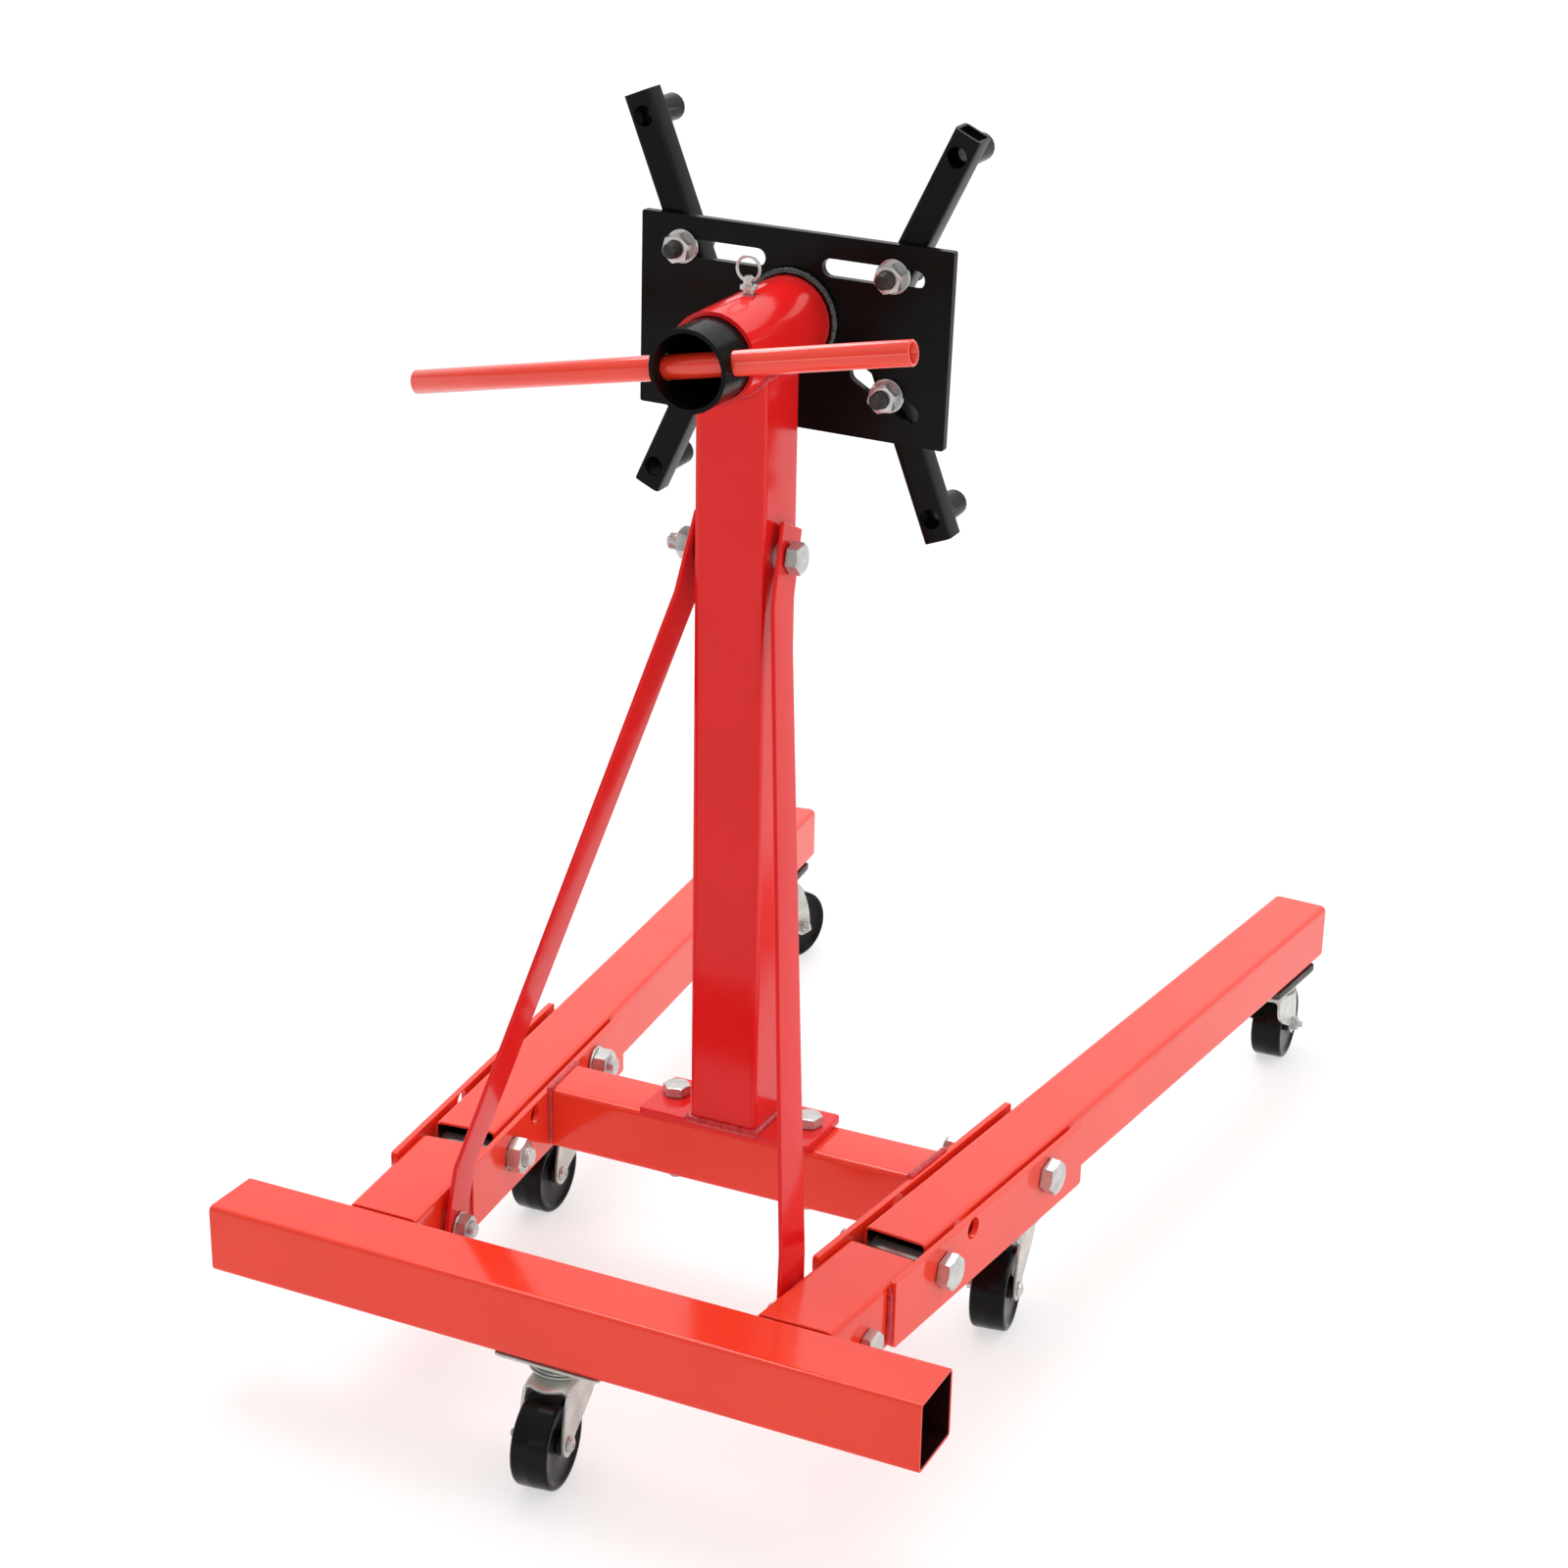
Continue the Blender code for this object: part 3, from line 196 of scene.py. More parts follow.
# floor, room and lamps
FLOOR_REACH = 60.0
FLOOR_GREY = 0.42
FLOOR_GLOW = 0.60
NEAR_LIGHT = 0.14
CEILING_LIGHT = 1.00
BACKDROP_LIGHT = 0.90
SWEEP_TOP = 0.13              # height of the white band, as the sine of its elevation
SWEEP_FADE = 0.24
# name, place, what it points at, width and height, power in watts
SOFTBOXES = (("overhead_softbox", (-0.7, 0.5, 2.6), (0, 0, 0.3), (1.3, 1.3), 26.0),
             ("side_softbox", (2.8, 0.4, 1.6), (0, 0, 0.4), (1.2, 1.8), 14.0),
             ("front_softbox", (0.4, -3.4, 1.2), (0, 0, 0.4), (2.2, 0.5), 5.0))

# camera, solved from the photograph's tube edges for a 1600 px square
CAMERA_PLACE = (1.0574, -2.3332, 1.3977)
CAMERA_BACK = (0.4139, -0.8394, 0.3523)
CAMERA_AZIMUTH = math.radians(26.248)
CAMERA_ROLL = math.radians(0.777)
CAMERA_SENSOR = 36.0
CAMERA_LENS = 63.48
CAMERA_SHIFT = (0.0256, 0.0167)

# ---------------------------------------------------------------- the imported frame
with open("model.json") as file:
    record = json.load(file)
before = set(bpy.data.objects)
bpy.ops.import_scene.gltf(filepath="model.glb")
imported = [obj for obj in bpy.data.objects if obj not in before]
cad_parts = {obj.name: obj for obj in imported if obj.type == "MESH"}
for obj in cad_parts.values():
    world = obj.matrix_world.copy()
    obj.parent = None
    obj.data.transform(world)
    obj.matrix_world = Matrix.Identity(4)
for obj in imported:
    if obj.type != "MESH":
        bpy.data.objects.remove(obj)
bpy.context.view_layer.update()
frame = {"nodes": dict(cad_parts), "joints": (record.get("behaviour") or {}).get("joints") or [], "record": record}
nodes = frame["nodes"]
joints = {joint["name"]: joint for joint in frame["joints"]}


def basis(x_axis, y_axis, z_axis, origin):
    """Matrix with the given columns and origin."""
    turned = Matrix((x_axis, y_axis, z_axis)).transposed().to_4x4()
    return Matrix.Translation(origin) @ turned


def side_frame(name):
    """Frame of one leg line: Y along the leg, origin on the floor below the crossbar's face."""
    fold = joints[f"leg_{name}_fold"]
    x_axis = Vector(fold["axis"]).normalized()
    y_axis = Vector((0, 0, 1)).cross(x_axis)
    pivot = Vector(fold["pos_m"])
    origin = pivot - PIVOT_ALONG * y_axis
    origin.z = 0.0
    return basis(x_axis, y_axis, Vector((0, 0, 1)), origin)


def head_frame(turn=0.0):
    """Frame of the sleeve: Y along its axis towards the engine, turned about that axis."""
    head = joints["head_turn"]
    y_axis = Vector(head["axis"]).normalized()
    x_axis = Vector((1, 0, 0))
    sleeve_frame = basis(x_axis, y_axis, x_axis.cross(y_axis), Vector(head["pos_m"]))
    return sleeve_frame @ Matrix.Rotation(turn, 4, "Y")


def caster_frame(tag):
    """Frame of a caster's fork: origin on the kingpin at the mounting face, wheel towards -Y."""
    x_axis = Vector(joints[f"caster_{tag}_roll"]["axis"]).normalized()
    up = Vector((0, 0, 1))
    return basis(x_axis, up.cross(x_axis), up, Vector(joints[f"caster_{tag}_swivel"]["pos_m"]))


def axle_frame(tag):
    """Frame on a caster's axle, with Z along the axle."""
    to_x = Matrix.Rotation(math.radians(90), 4, "Y")
    return caster_frame(tag) @ Matrix.Translation((0, -CASTER_TRAIL, -AXLE_DROP)) @ to_x


def extent(node, axis):
    """Lowest and highest place of a CAD node along an axis."""
    along = [vertex.co.dot(axis) for vertex in nodes[node].data.vertices]
    return min(along), max(along)


def bolt_frame(node, outward):
    """Frame on a CAD fastener's axis with Z outward and origin at its inner end, and its length."""
    z_axis = Vector(outward).normalized()
    x_axis = z_axis.orthogonal().normalized()
    y_axis = z_axis.cross(x_axis)
    middle = Vector()
    for axis in (x_axis, y_axis):
        low, high = extent(node, axis)
        middle += axis * (low + high) / 2
    low, high = extent(node, z_axis)
    return basis(x_axis, y_axis, z_axis, middle + z_axis * low), high - low


# ---------------------------------------------------------------- materials
def new_material(name):
    made = bpy.data.materials.new(name)
    made.use_nodes = True
    return made, made.node_tree.nodes, made.node_tree.links


def noise(tree_nodes, links, coordinates, scale, detail, stretch=None):
    """Noise on object coordinates, optionally stretched along the axes."""
    texture = tree_nodes.new("ShaderNodeTexNoise")
    texture.inputs["Scale"].default_value = scale
    texture.inputs["Detail"].default_value = detail
    source = coordinates
    if stretch:
        mapping = tree_nodes.new("ShaderNodeMapping")
        mapping.inputs["Scale"].default_value = stretch
        links.new(coordinates, mapping.inputs["Vector"])
        source = mapping.outputs["Vector"]
    links.new(source, texture.inputs["Vector"])
    return texture.outputs["Fac"]


def ramp(tree_nodes, links, value, stops):
    """Colour ramp through (place, colour) stops."""
    made = tree_nodes.new("ShaderNodeValToRGB")
    elements = made.color_ramp.elements
    while len(elements) < len(stops):
        elements.new(0.5)
    for element, (place, colour) in zip(elements, stops):
        element.position = place
        element.color = (*colour, 1.0)
    links.new(value, made.inputs["Fac"])
    return made.outputs["Color"]


def map_range(tree_nodes, links, value, source, target):
    """Map one range of a value onto another."""
    made = tree_nodes.new("ShaderNodeMapRange")
    made.inputs["From Min"].default_value, made.inputs["From Max"].default_value = source
    made.inputs["To Min"].default_value, made.inputs["To Max"].default_value = target
    links.new(value, made.inputs["Value"])
    return made.outputs["Result"]


def bump(tree_nodes, links, height, strength, distance):
    made = tree_nodes.new("ShaderNodeBump")
    made.inputs["Strength"].default_value = strength
    made.inputs["Distance"].default_value = distance
    links.new(height, made.inputs["Height"])
    return made.outputs["Normal"]


def calculate(tree_nodes, links, operation, *sources):
    """Math node whose inputs are sockets or plain numbers."""
    made = tree_nodes.new("ShaderNodeMath")
    made.operation = operation
    for socket, source in zip(made.inputs, sources):
        if isinstance(source, float):
            socket.default_value = source
        else:
            links.new(source, socket)
    return made.outputs["Value"]


def inside_shade_mask(tree_nodes, links, place, shaded_hollow):
    """Mask of the painted shade inside a tube: 1 on its inner walls and 0 elsewhere; the hollow is a centre, two
    axes and a reach.
    """
    centre, across, reach = shaded_hollow
    offset = tree_nodes.new("ShaderNodeVectorMath")
    offset.operation = "SUBTRACT"
    links.new(place, offset.inputs[0])
    offset.inputs[1].default_value = centre
    away = []
    for axis in across:
        along = tree_nodes.new("ShaderNodeVectorMath")
        along.operation = "DOT_PRODUCT"
        links.new(offset.outputs["Vector"], along.inputs[0])
        along.inputs[1].default_value = axis
        away.append(calculate(tree_nodes, links, "ABSOLUTE", along.outputs["Value"]))
    widest = calculate(tree_nodes, links, "MAXIMUM", *away)
    return calculate(tree_nodes, links, "LESS_THAN", widest, reach)


def finish(name, tints, roughness, grain, metallic=0.0, specular=0.5, coat=0.0,
           coat_roughness=0.05, cloud_scale=7.0, streak=None, shaded_hollow=None):
    """Painted or plated surface: clouded tint, uneven roughness and a fine relief.

    tints are the colours from the darkest to the lightest patches; grain is the relief's
    noise scale, strength and depth; streak stretches the roughness noise along an axis;
    the hollow at the end marks the inside of a tube, on whose walls a near black shade is painted.
    """
    made, tree_nodes, links = new_material(name)
    shader = tree_nodes["Principled BSDF"]
    place = tree_nodes.new("ShaderNodeTexCoord").outputs["Object"]
    clouds = noise(tree_nodes, links, place, cloud_scale, CLOUD_DETAIL)
    count = len(tints) - 1
    stops = [(CLOUD_START + CLOUD_SPAN * i / count, tint) for i, tint in enumerate(tints)]
    colour = ramp(tree_nodes, links, clouds, stops)
    # painted shade: the inner walls of a tube take a near black colour
    if shaded_hollow:
        mix = tree_nodes.new("ShaderNodeMix")
        mix.data_type = "RGBA"
        links.new(inside_shade_mask(tree_nodes, links, place, shaded_hollow), mix.inputs[MIX_FACTOR])
        links.new(colour, mix.inputs[MIX_FIRST])
        mix.inputs[MIX_SECOND].default_value = (*TUBE_INSIDE_SHADE, 1.0)
        colour = mix.outputs[MIX_RESULT]
    links.new(colour, shader.inputs["Base Color"])
    wear = noise(tree_nodes, links, place, WEAR_SCALE, WEAR_DETAIL, streak)
    uneven = map_range(tree_nodes, links, wear, WEAR_RANGE, roughness)
    links.new(uneven, shader.inputs["Roughness"])
    scale, strength, depth = grain
    fine = noise(tree_nodes, links, place, scale, GRAIN_DETAIL)
    links.new(bump(tree_nodes, links, fine, strength, depth), shader.inputs["Normal"])
    shader.inputs["Metallic"].default_value = metallic
    shader.inputs["Specular IOR Level"].default_value = specular
    shader.inputs["Coat Weight"].default_value = coat
    shader.inputs["Coat Roughness"].default_value = coat_roughness
    return made


def red_enamel(name, shaded_hollow=None, coat=0.12):
    return finish(name, ((0.820, 0.038, 0.015), (0.850, 0.043, 0.018), (0.880, 0.048, 0.021)),
                  (0.10, 0.18), (300.0, 0.04, 0.0002), specular=0.34, coat=coat,
                  coat_roughness=0.04, shaded_hollow=shaded_hollow)


RED = red_enamel("red_enamel_gloss")
RED_BAR = red_enamel("red_enamel_polished", coat=0.7)
RED_DEEP = finish("crimson_enamel_gloss",
                  ((0.720, 0.011, 0.012), (0.750, 0.014, 0.014), (0.780, 0.017, 0.017)),
                  (0.10, 0.18), (300.0, 0.04, 0.0002), specular=0.26)
RED_BEAD = finish("red_enamel_on_weld",
                  ((0.420, 0.006, 0.010), (0.560, 0.010, 0.014), (0.680, 0.016, 0.020)),
                  (0.10, 0.28), (420.0, 0.60, 0.0010), specular=0.4, coat=0.3, cloud_scale=160.0)
BLACK = finish("black_enamel_satin",
               ((0.0030, 0.0030, 0.0030), (0.0045, 0.0043, 0.0042), (0.0065, 0.0062, 0.0060)),
               (0.18, 0.30), (900.0, 0.10, 0.0002), specular=0.09)
BLACK_BEAD = finish("black_enamel_on_weld",
                    ((0.0030, 0.0030, 0.0030), (0.0060, 0.0058, 0.0056), (0.0110, 0.0105, 0.0100)),
                    (0.05, 0.14), (300.0, 0.90, 0.0016), specular=0.6, coat=0.6, cloud_scale=160.0)
ZINC = finish("zinc_plated_steel",
              ((0.420, 0.420, 0.405), (0.530, 0.532, 0.518), (0.640, 0.644, 0.632)),
              (0.12, 0.28), (600.0, 0.08, 0.0002), metallic=0.60, cloud_scale=60.0)
PRESSED_ZINC = finish("pressed_zinc_sheet",
                      ((0.440, 0.445, 0.405), (0.540, 0.545, 0.505), (0.640, 0.645, 0.610)),
                      (0.20, 0.36), (260.0, 0.05, 0.0002), metallic=0.50, cloud_scale=45.0,
                      streak=(1.0, 1.0, 3.0))
BLACK_OXIDE = finish("black_oxide_thread",
                     ((0.020, 0.020, 0.021), (0.034, 0.033, 0.032), (0.055, 0.053, 0.050)),
                     (0.30, 0.52), (800.0, 0.25, 0.0003), metallic=0.6, cloud_scale=140.0)
POLYMER = finish("black_moulded_polymer",
                 ((0.0025, 0.0025, 0.0027), (0.0035, 0.0035, 0.0038), (0.0050, 0.0050, 0.0050)),
                 (0.16, 0.28), (320.0, 0.08, 0.0002), specular=0.13, cloud_scale=30.0)
PACKING_STEEL = finish("dark_packing_plate",
                       ((0.016, 0.014, 0.013), (0.028, 0.024, 0.022), (0.045, 0.038, 0.034)),
                       (0.40, 0.60), (300.0, 0.25, 0.0005), cloud_scale=50.0)

# the record's material slots with their finishes, the CAD nodes' own finish first
SLOT_FINISHES = {"red_enamel": (RED, RED_BAR, RED_BEAD),
                 "black_enamel": (BLACK, BLACK_BEAD, BLACK_OXIDE, PACKING_STEEL),
                 "zinc_plate": (ZINC, PRESSED_ZINC),
                 "black_polymer": (POLYMER,)}
DEEP_NODES = ("post", "post_base_plate", "head_sleeve", "brace_left", "brace_right")


# ---------------------------------------------------------------- mesh helpers
def skin(bm, rings, cap_start=False, cap_end=False, material=0):
    """Add quads between closed rings of equal length, and end faces where asked."""
    rows = [[bm.verts.new(point) for point in ring] for ring in rings]
    made = []
    for low, high in zip(rows, rows[1:]):
        count = len(low)
        for i in range(count):
            j = (i + 1) % count
            made.append(bm.faces.new((low[i], low[j], high[j], high[i])))
    if cap_start:
        made.append(bm.faces.new(list(reversed(rows[0]))))
    if cap_end:
        made.append(bm.faces.new(rows[-1]))
    for face in made:
        face.material_index = material


def ring_at(radius, height, steps=ROUND_STEPS):
    return [Vector((radius * math.cos(2 * math.pi * i / steps),
                    radius * math.sin(2 * math.pi * i / steps), height)) for i in range(steps)]


def turned(profile, steps=ROUND_STEPS):
    """Rings of a solid of revolution about Z through (radius, height) points."""
    return [ring_at(radius, height, steps) for radius, height in profile]


def raised(profile, height):
    """Turned outline moved up by a height."""
    return [(radius, height + up) for radius, up in profile]


def absorb(bm, other, matrix):
    """Move another bmesh by a matrix and add it to this one."""
    other.transform(matrix)
    mesh = bpy.data.meshes.new("absorbed")
    other.to_mesh(mesh)
    other.free()
    bm.from_mesh(mesh)
    bpy.data.meshes.remove(mesh)


def hexagon_rings(flats, low, high, bore=None, both_ends=False):
    """Rings of a hexagon whose corners are turned down to a cone at its outer end."""
    inner = flats / 2 * HEX_END
    slope = math.tan(HEX_CHAMFER)

    def ring(height, sign):
        made = []
        for i in range(HEX_STEPS):
            angle = 2 * math.pi * i / HEX_STEPS
            away = (angle + math.radians(30)) % math.radians(60) - math.radians(30)
            reach = flats / 2 / math.cos(away)
            drop = (reach - inner) * slope
            made.append(Vector((reach * math.cos(angle), reach * math.sin(angle),
                                height + sign * drop)))
        return made

    rings = []
    if both_ends:
        rings.append(ring_at(inner, low, HEX_STEPS))
    rings.append(ring(low, 1 if both_ends else 0))
    rings.append(ring(high, -1))
    rings.append(ring_at(inner, high, HEX_STEPS))
    if bore:
        past, into, depth = COUNTERSINK
        rings.append(ring_at(bore + past, high, HEX_STEPS))
        rings.append(ring_at(bore - into, high - depth, HEX_STEPS))
    else:
        rings.append(ring_at(inner * HEX_TOP, high + HEX_RISE, HEX_STEPS))
    return rings


def thread_rings(radius, low, high):
    """Rings of a screw thread with a turned-down point at its outer end."""
    slices = max(4, int((high - low) / THREAD_PITCH * THREAD_SLICES))
    rings = []
    for k in range(slices + 1):
        height = low + (high - low) * k / slices
        fade = min(1.0, (high - height) / THREAD_POINT)
        ring = []
        for i in range(THREAD_STEPS):
            phase = (height / THREAD_PITCH - i / THREAD_STEPS) % 1.0
            depth = THREAD_DEPTH * abs(2 * phase - 1)
            reach = (radius - depth) * fade + (radius - TIP_DEPTH * THREAD_DEPTH) * (1 - fade)
            angle = 2 * math.pi * i / THREAD_STEPS
            ring.append(Vector((reach * math.cos(angle), reach * math.sin(angle), height)))
        rings.append(ring)
    return rings


def flange_rings(radius, low, high):
    """Washer or flange with rounded rims."""
    edge = min(FLANGE_EDGE, (high - low) * 0.4)
    return turned(((radius - edge, low), (radius, low + edge), (radius, high - edge),
                   (radius - edge, high), (radius * 0.5, high)))


def piece(name, bm, materials, body, matrix=None, replaced=(), smooth=40.0):
    """Make a named piece from a bmesh, give it its finish and let it ride a body.

    Edges that turn by less than the smooth angle, in degrees, are shaded smooth.
    """
    bmesh.ops.remove_doubles(bm, verts=bm.verts, dist=DOUBLES)
    bmesh.ops.recalc_face_normals(bm, faces=bm.faces)
    if matrix:
        bm.transform(matrix)
    mesh = bpy.data.meshes.new(name)
    bm.to_mesh(mesh)
    bm.free()
    obj = bpy.data.objects.new(name, mesh)
    bpy.context.scene.collection.objects.link(obj)
    for material in materials:
        mesh.materials.append(material)
    mesh.shade_smooth()
    mesh.set_sharp_from_angle(angle=math.radians(smooth))
    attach(obj, body)
    if replaced:
        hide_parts(*replaced)
    return obj


# ---------------------------------------------------------------- fasteners
def add_head(bm, spec, top):
    """Hexagon head with its washer face, ending at the given height."""
    seat = top - spec["head"]
    face = spec["flats"] * FACE_SHARE
    skin(bm, turned(((face, seat), (face, seat + FACE_DEPTH))))
    skin(bm, hexagon_rings(spec["flats"], seat + FACE_TO_HEX, top), cap_end=True)


def add_nut(bm, spec, seat, material=0):
    """Washer, nut and thread end standing on the given height, towards +Z."""
    washer_top = seat + spec["washer"]
    nut_top = washer_top + spec["nut"] - (0.0 if spec["loose"] else spec["washer"])
    skin(bm, flange_rings(spec["flange"], seat, washer_top), material=material)
    skin(bm, hexagon_rings(spec["flats"], washer_top - NUT_SINK, nut_top, spec["radius"], True),
         material=material)
    skin(bm, thread_rings(spec["radius"], nut_top - THREAD_IN_NUT, nut_top + spec["proud"]),
         cap_end=True)


def nut_end(spec):
    """Length of a bolt's nut end, from the seat of its washer to the thread's tip."""
    tail = spec["nut"] + spec["proud"]
    return tail + spec["washer"] if spec["loose"] else tail


def bolt_piece(node, outward, body, spec, spacers=(), nut_material=0, materials=(ZINC,)):
    """Whole bolt: head outside, shank, spacers and nut at the far end, for one CAD node."""
    place, length = bolt_frame(node, outward)
    bm = bmesh.new()
    add_head(bm, spec, length)
    tail = nut_end(spec)
    skin(bm, turned(((spec["radius"], tail - SHANK_SINK), (spec["radius"], length - SHANK_SINK))))
    for low, high in spacers:
        skin(bm, turned(((SPACER_RADIUS - SPACER_WALL, low), (SPACER_RADIUS, low),
                         (SPACER_RADIUS, high), (SPACER_RADIUS - SPACER_WALL, high))))
    nut = bmesh.new()
    add_nut(nut, spec, length - tail, nut_material)
    turn_over = Matrix.Translation((0, 0, length)) @ Matrix.Rotation(math.pi, 4, "X")
    absorb(bm, nut, turn_over)
    piece(f"{node}_detail", bm, materials, body, place, (node,))


def lock_bolt_pieces(name, outward):
    """Head end and nut end of a leg's lock bolt, which are two CAD nodes with nothing between."""
    radius = LEG_BOLT["radius"]
    node = f"leg_lock_bolt_{name}"
    place, length = bolt_frame(node, outward)
    bm = bmesh.new()
    add_head(bm, LEG_BOLT, length)
    skin(bm, turned(((radius, 0.0), (radius, length - LOCK_SHANK_END))), cap_start=True)
    piece(f"{node}_detail", bm, (ZINC,), "frame", place, (node,))

    node = f"leg_lock_nut_{name}"
    place, length = bolt_frame(node, -outward)
    bm = bmesh.new()
    seat = length - LEG_BOLT["proud"] - LEG_BOLT["nut"] - LEG_BOLT["washer"]
    skin(bm, turned(((radius, 0.0), (radius, seat + LOCK_SHANK_SINK))), cap_start=True)
    add_nut(bm, LEG_BOLT, seat)
    piece(f"{node}_detail", bm, (ZINC,), "frame", place, (node,))


def add_fasteners():
    for name, sign in (("left", -1), ("right", 1)):
        outward = sign * Vector(joints[f"leg_{name}_fold"]["axis"])
        bolt_piece(f"leg_pivot_bolt_{name}", outward, "frame", LEG_BOLT)
        brace_out = nut_end(BASE_BOLT) + BRACE_GRIP
        bolt_piece(f"brace_stub_bolt_{name}", outward, "frame", BASE_BOLT,
                   spacers=((brace_out, brace_out + STUB_SPACER),))
        bolt_piece(f"post_base_bolt_{name}", (0, 0, 1), "frame", BASE_BOLT)
        lock_bolt_pieces(name, outward)

    right = Vector((1, 0, 0))
    tail = nut_end(BRACE_BOLT)
    length = bolt_frame("brace_post_bolt", right)[1]
    middle = tail + (length - tail - BRACE_BOLT["head"]) / 2
    bolt_piece("brace_post_bolt", right, "frame", BRACE_BOLT,
               spacers=((middle - POST_HALF - POST_SPACER, middle - POST_HALF),
                        (middle + POST_HALF, middle + POST_HALF + POST_SPACER)))
    forwards = Vector(joints["head_turn"]["axis"])
    for name in ("upper_left", "upper_right", "lower_left", "lower_right"):
        bolt_piece(f"arm_stud_{name}", forwards, f"arm_stud_{name}", ARM_STUD,
                   nut_material=1, materials=(BLACK_OXIDE, ZINC))


# ---------------------------------------------------------------- casters
def interpolate(table, height, column):
    """Straight-line value of a column of a table sorted by its first column."""
    for low, high in zip(table, table[1:]):
        if height <= high[0]:
            share = max(0.0, (height - low[0]) / (high[0] - low[0]))
            return low[column] + share * (high[column] - low[column])
    return table[-1][column]


def fork_stations():
    """Half of the bent sheet's middle line from the eye up to the crown: x, z, front, rear."""
    made = []
    for k in range(EYE_STEPS + 1):
        angle = math.radians(90 * k / EYE_STEPS)
        height = -AXLE_DROP - EYE_RADIUS * math.cos(angle)
        reach = EYE_RADIUS * math.sin(angle)
        made.append((FORK_HALF, height, -CASTER_TRAIL - reach, -CASTER_TRAIL + reach))
    top = CROWN_TOP - FORK_SHEET / 2
    bend_start = top - FORK_BEND
    for k in range(1, LEG_STEPS + 1):
        height = -AXLE_DROP + (bend_start + AXLE_DROP) * k / LEG_STEPS
        made.append((FORK_HALF, height, interpolate(LEG_EDGES, height, 1),
                     interpolate(LEG_EDGES, height, 2)))
    front = made[-1][2]
    rear = made[-1][3]
    for k in range(1, BEND_STEPS + 1):
        angle = math.radians(90 * k / BEND_STEPS)
        ease = k / BEND_STEPS * SHOULDER_SHIFT
        made.append((FORK_HALF - FORK_BEND * (1 - math.cos(angle)),
                     bend_start + FORK_BEND * math.sin(angle), front - ease, rear - ease))
    flat = FORK_HALF - FORK_BEND
    for k in range(1, CROWN_STEPS + 1):
        share = k / CROWN_STEPS
        bulge = CROWN_BULGE * math.sin(math.radians(90) * share)
        made.append((flat * (1 - share), top, front - SHOULDER_SHIFT - bulge,
                     rear - SHOULDER_SHIFT + bulge * REAR_BULGE_SHARE))
    return made


def fork_sheet(tag, body, matrix):
    """Pressed fork with bent shoulders, round eyes and a lowered front lip."""
    half = fork_stations()
    stations = half + [(-x, z, front, rear) for x, z, front, rear in reversed(half[:-1])]
    bm = bmesh.new()
    rows = []
    for x, z, front, rear in stations:
        rows.append([bm.verts.new((x, front + (rear - front) * k / FORK_COLUMNS, z))
                     for k in range(FORK_COLUMNS + 1)])
    for low, high in zip(rows, rows[1:]):
        for k in range(FORK_COLUMNS):
            bm.faces.new((low[k], low[k + 1], high[k + 1], high[k]))
    for vertex in bm.verts:
        past = min(1.0, max(0.0, -LIP_START - vertex.co.y) / LIP_RUN)
        level = min(1.0, max(0.0, (vertex.co.z - CROWN_TOP + LIP_BELOW) / LIP_RISE))
        vertex.co.z -= LIP_DROP * level * past ** 2
    sheet = piece(f"fork_sheet_{tag}", bm, (PRESSED_ZINC,), body, matrix, (f"caster_fork_{tag}",))
    thicken = sheet.modifiers.new("sheet", "SOLIDIFY")
    thicken.thickness = FORK_SHEET
    thicken.offset = 0.0
    soften = sheet.modifiers.new("rims", "BEVEL")
    soften.width = FORK_RIM
    soften.segments = 2
    soften.limit_method = "ANGLE"


def axle_detail(tag, body):
    """Axle bolt through the fork: a round head on one side, a flanged nut on the other."""
    radius = AXLE_RADIUS
    outside = FORK_HALF + FORK_SHEET / 2
    places = ("flange_top", "low", "high", "thread", "tip")
    out = {name: outside + AXLE_NUT[name] for name in places}
    axle = bmesh.new()
    skin(axle, turned(((radius, -outside), (radius, outside)), AXLE_STEPS))
    skin(axle, turned(raised(AXLE_HEAD, outside), AXLE_HEAD_STEPS), cap_end=True)
    far = bmesh.new()
    skin(far, flange_rings(AXLE_NUT["flange"], outside, out["flange_top"]))
    skin(far, hexagon_rings(AXLE_NUT["flats"], out["low"], out["high"], radius, True))
    skin(far, thread_rings(radius, out["thread"], out["tip"]), cap_end=True)
    absorb(axle, far, Matrix.Rotation(math.pi, 4, "X"))
    piece(f"axle_{tag}", axle, (ZINC,), body, axle_frame(tag), (f"caster_axle_{tag}",))


def fork_detail(tag):
    """Fork sheet, lower race and axle."""
    matrix = caster_frame(tag)
    body = f"caster_fork_{tag}"
    fork_sheet(tag, body, matrix)
    race = bmesh.new()
    skin(race, turned(raised(FORK_RACE, CROWN_TOP)))
    piece(f"fork_race_{tag}", race, (PRESSED_ZINC,), body, matrix)
    axle_detail(tag, body)


def wheel_detail(tag):
    """Moulded wheel: flat tread with round shoulders, a thin rim, a dished web and a hub."""
    side = raised(WHEEL_FACE, WHEEL_HALF)
    for k in range(SHOULDER_STEPS + 1):
        angle = math.radians(90 * k / SHOULDER_STEPS)
        side.append((WHEEL_RADIUS - WHEEL_SHOULDER + WHEEL_SHOULDER * math.sin(angle),
                     WHEEL_HALF - WHEEL_SHOULDER + WHEEL_SHOULDER * math.cos(angle)))
    seam_half, seam_height = MOULD_SEAM
    side.append((WHEEL_RADIUS, seam_half))
    seam = [(WHEEL_RADIUS + seam_height, 0.0)]
    profile = side + seam + [(radius, -height) for radius, height in reversed(side)]
    bm = bmesh.new()
    skin(bm, turned(profile + profile[:1], WHEEL_STEPS))
    piece(f"wheel_{tag}", bm, (POLYMER,), f"caster_wheel_{tag}", axle_frame(tag),
          (f"caster_wheel_{tag}",), smooth=50.0)


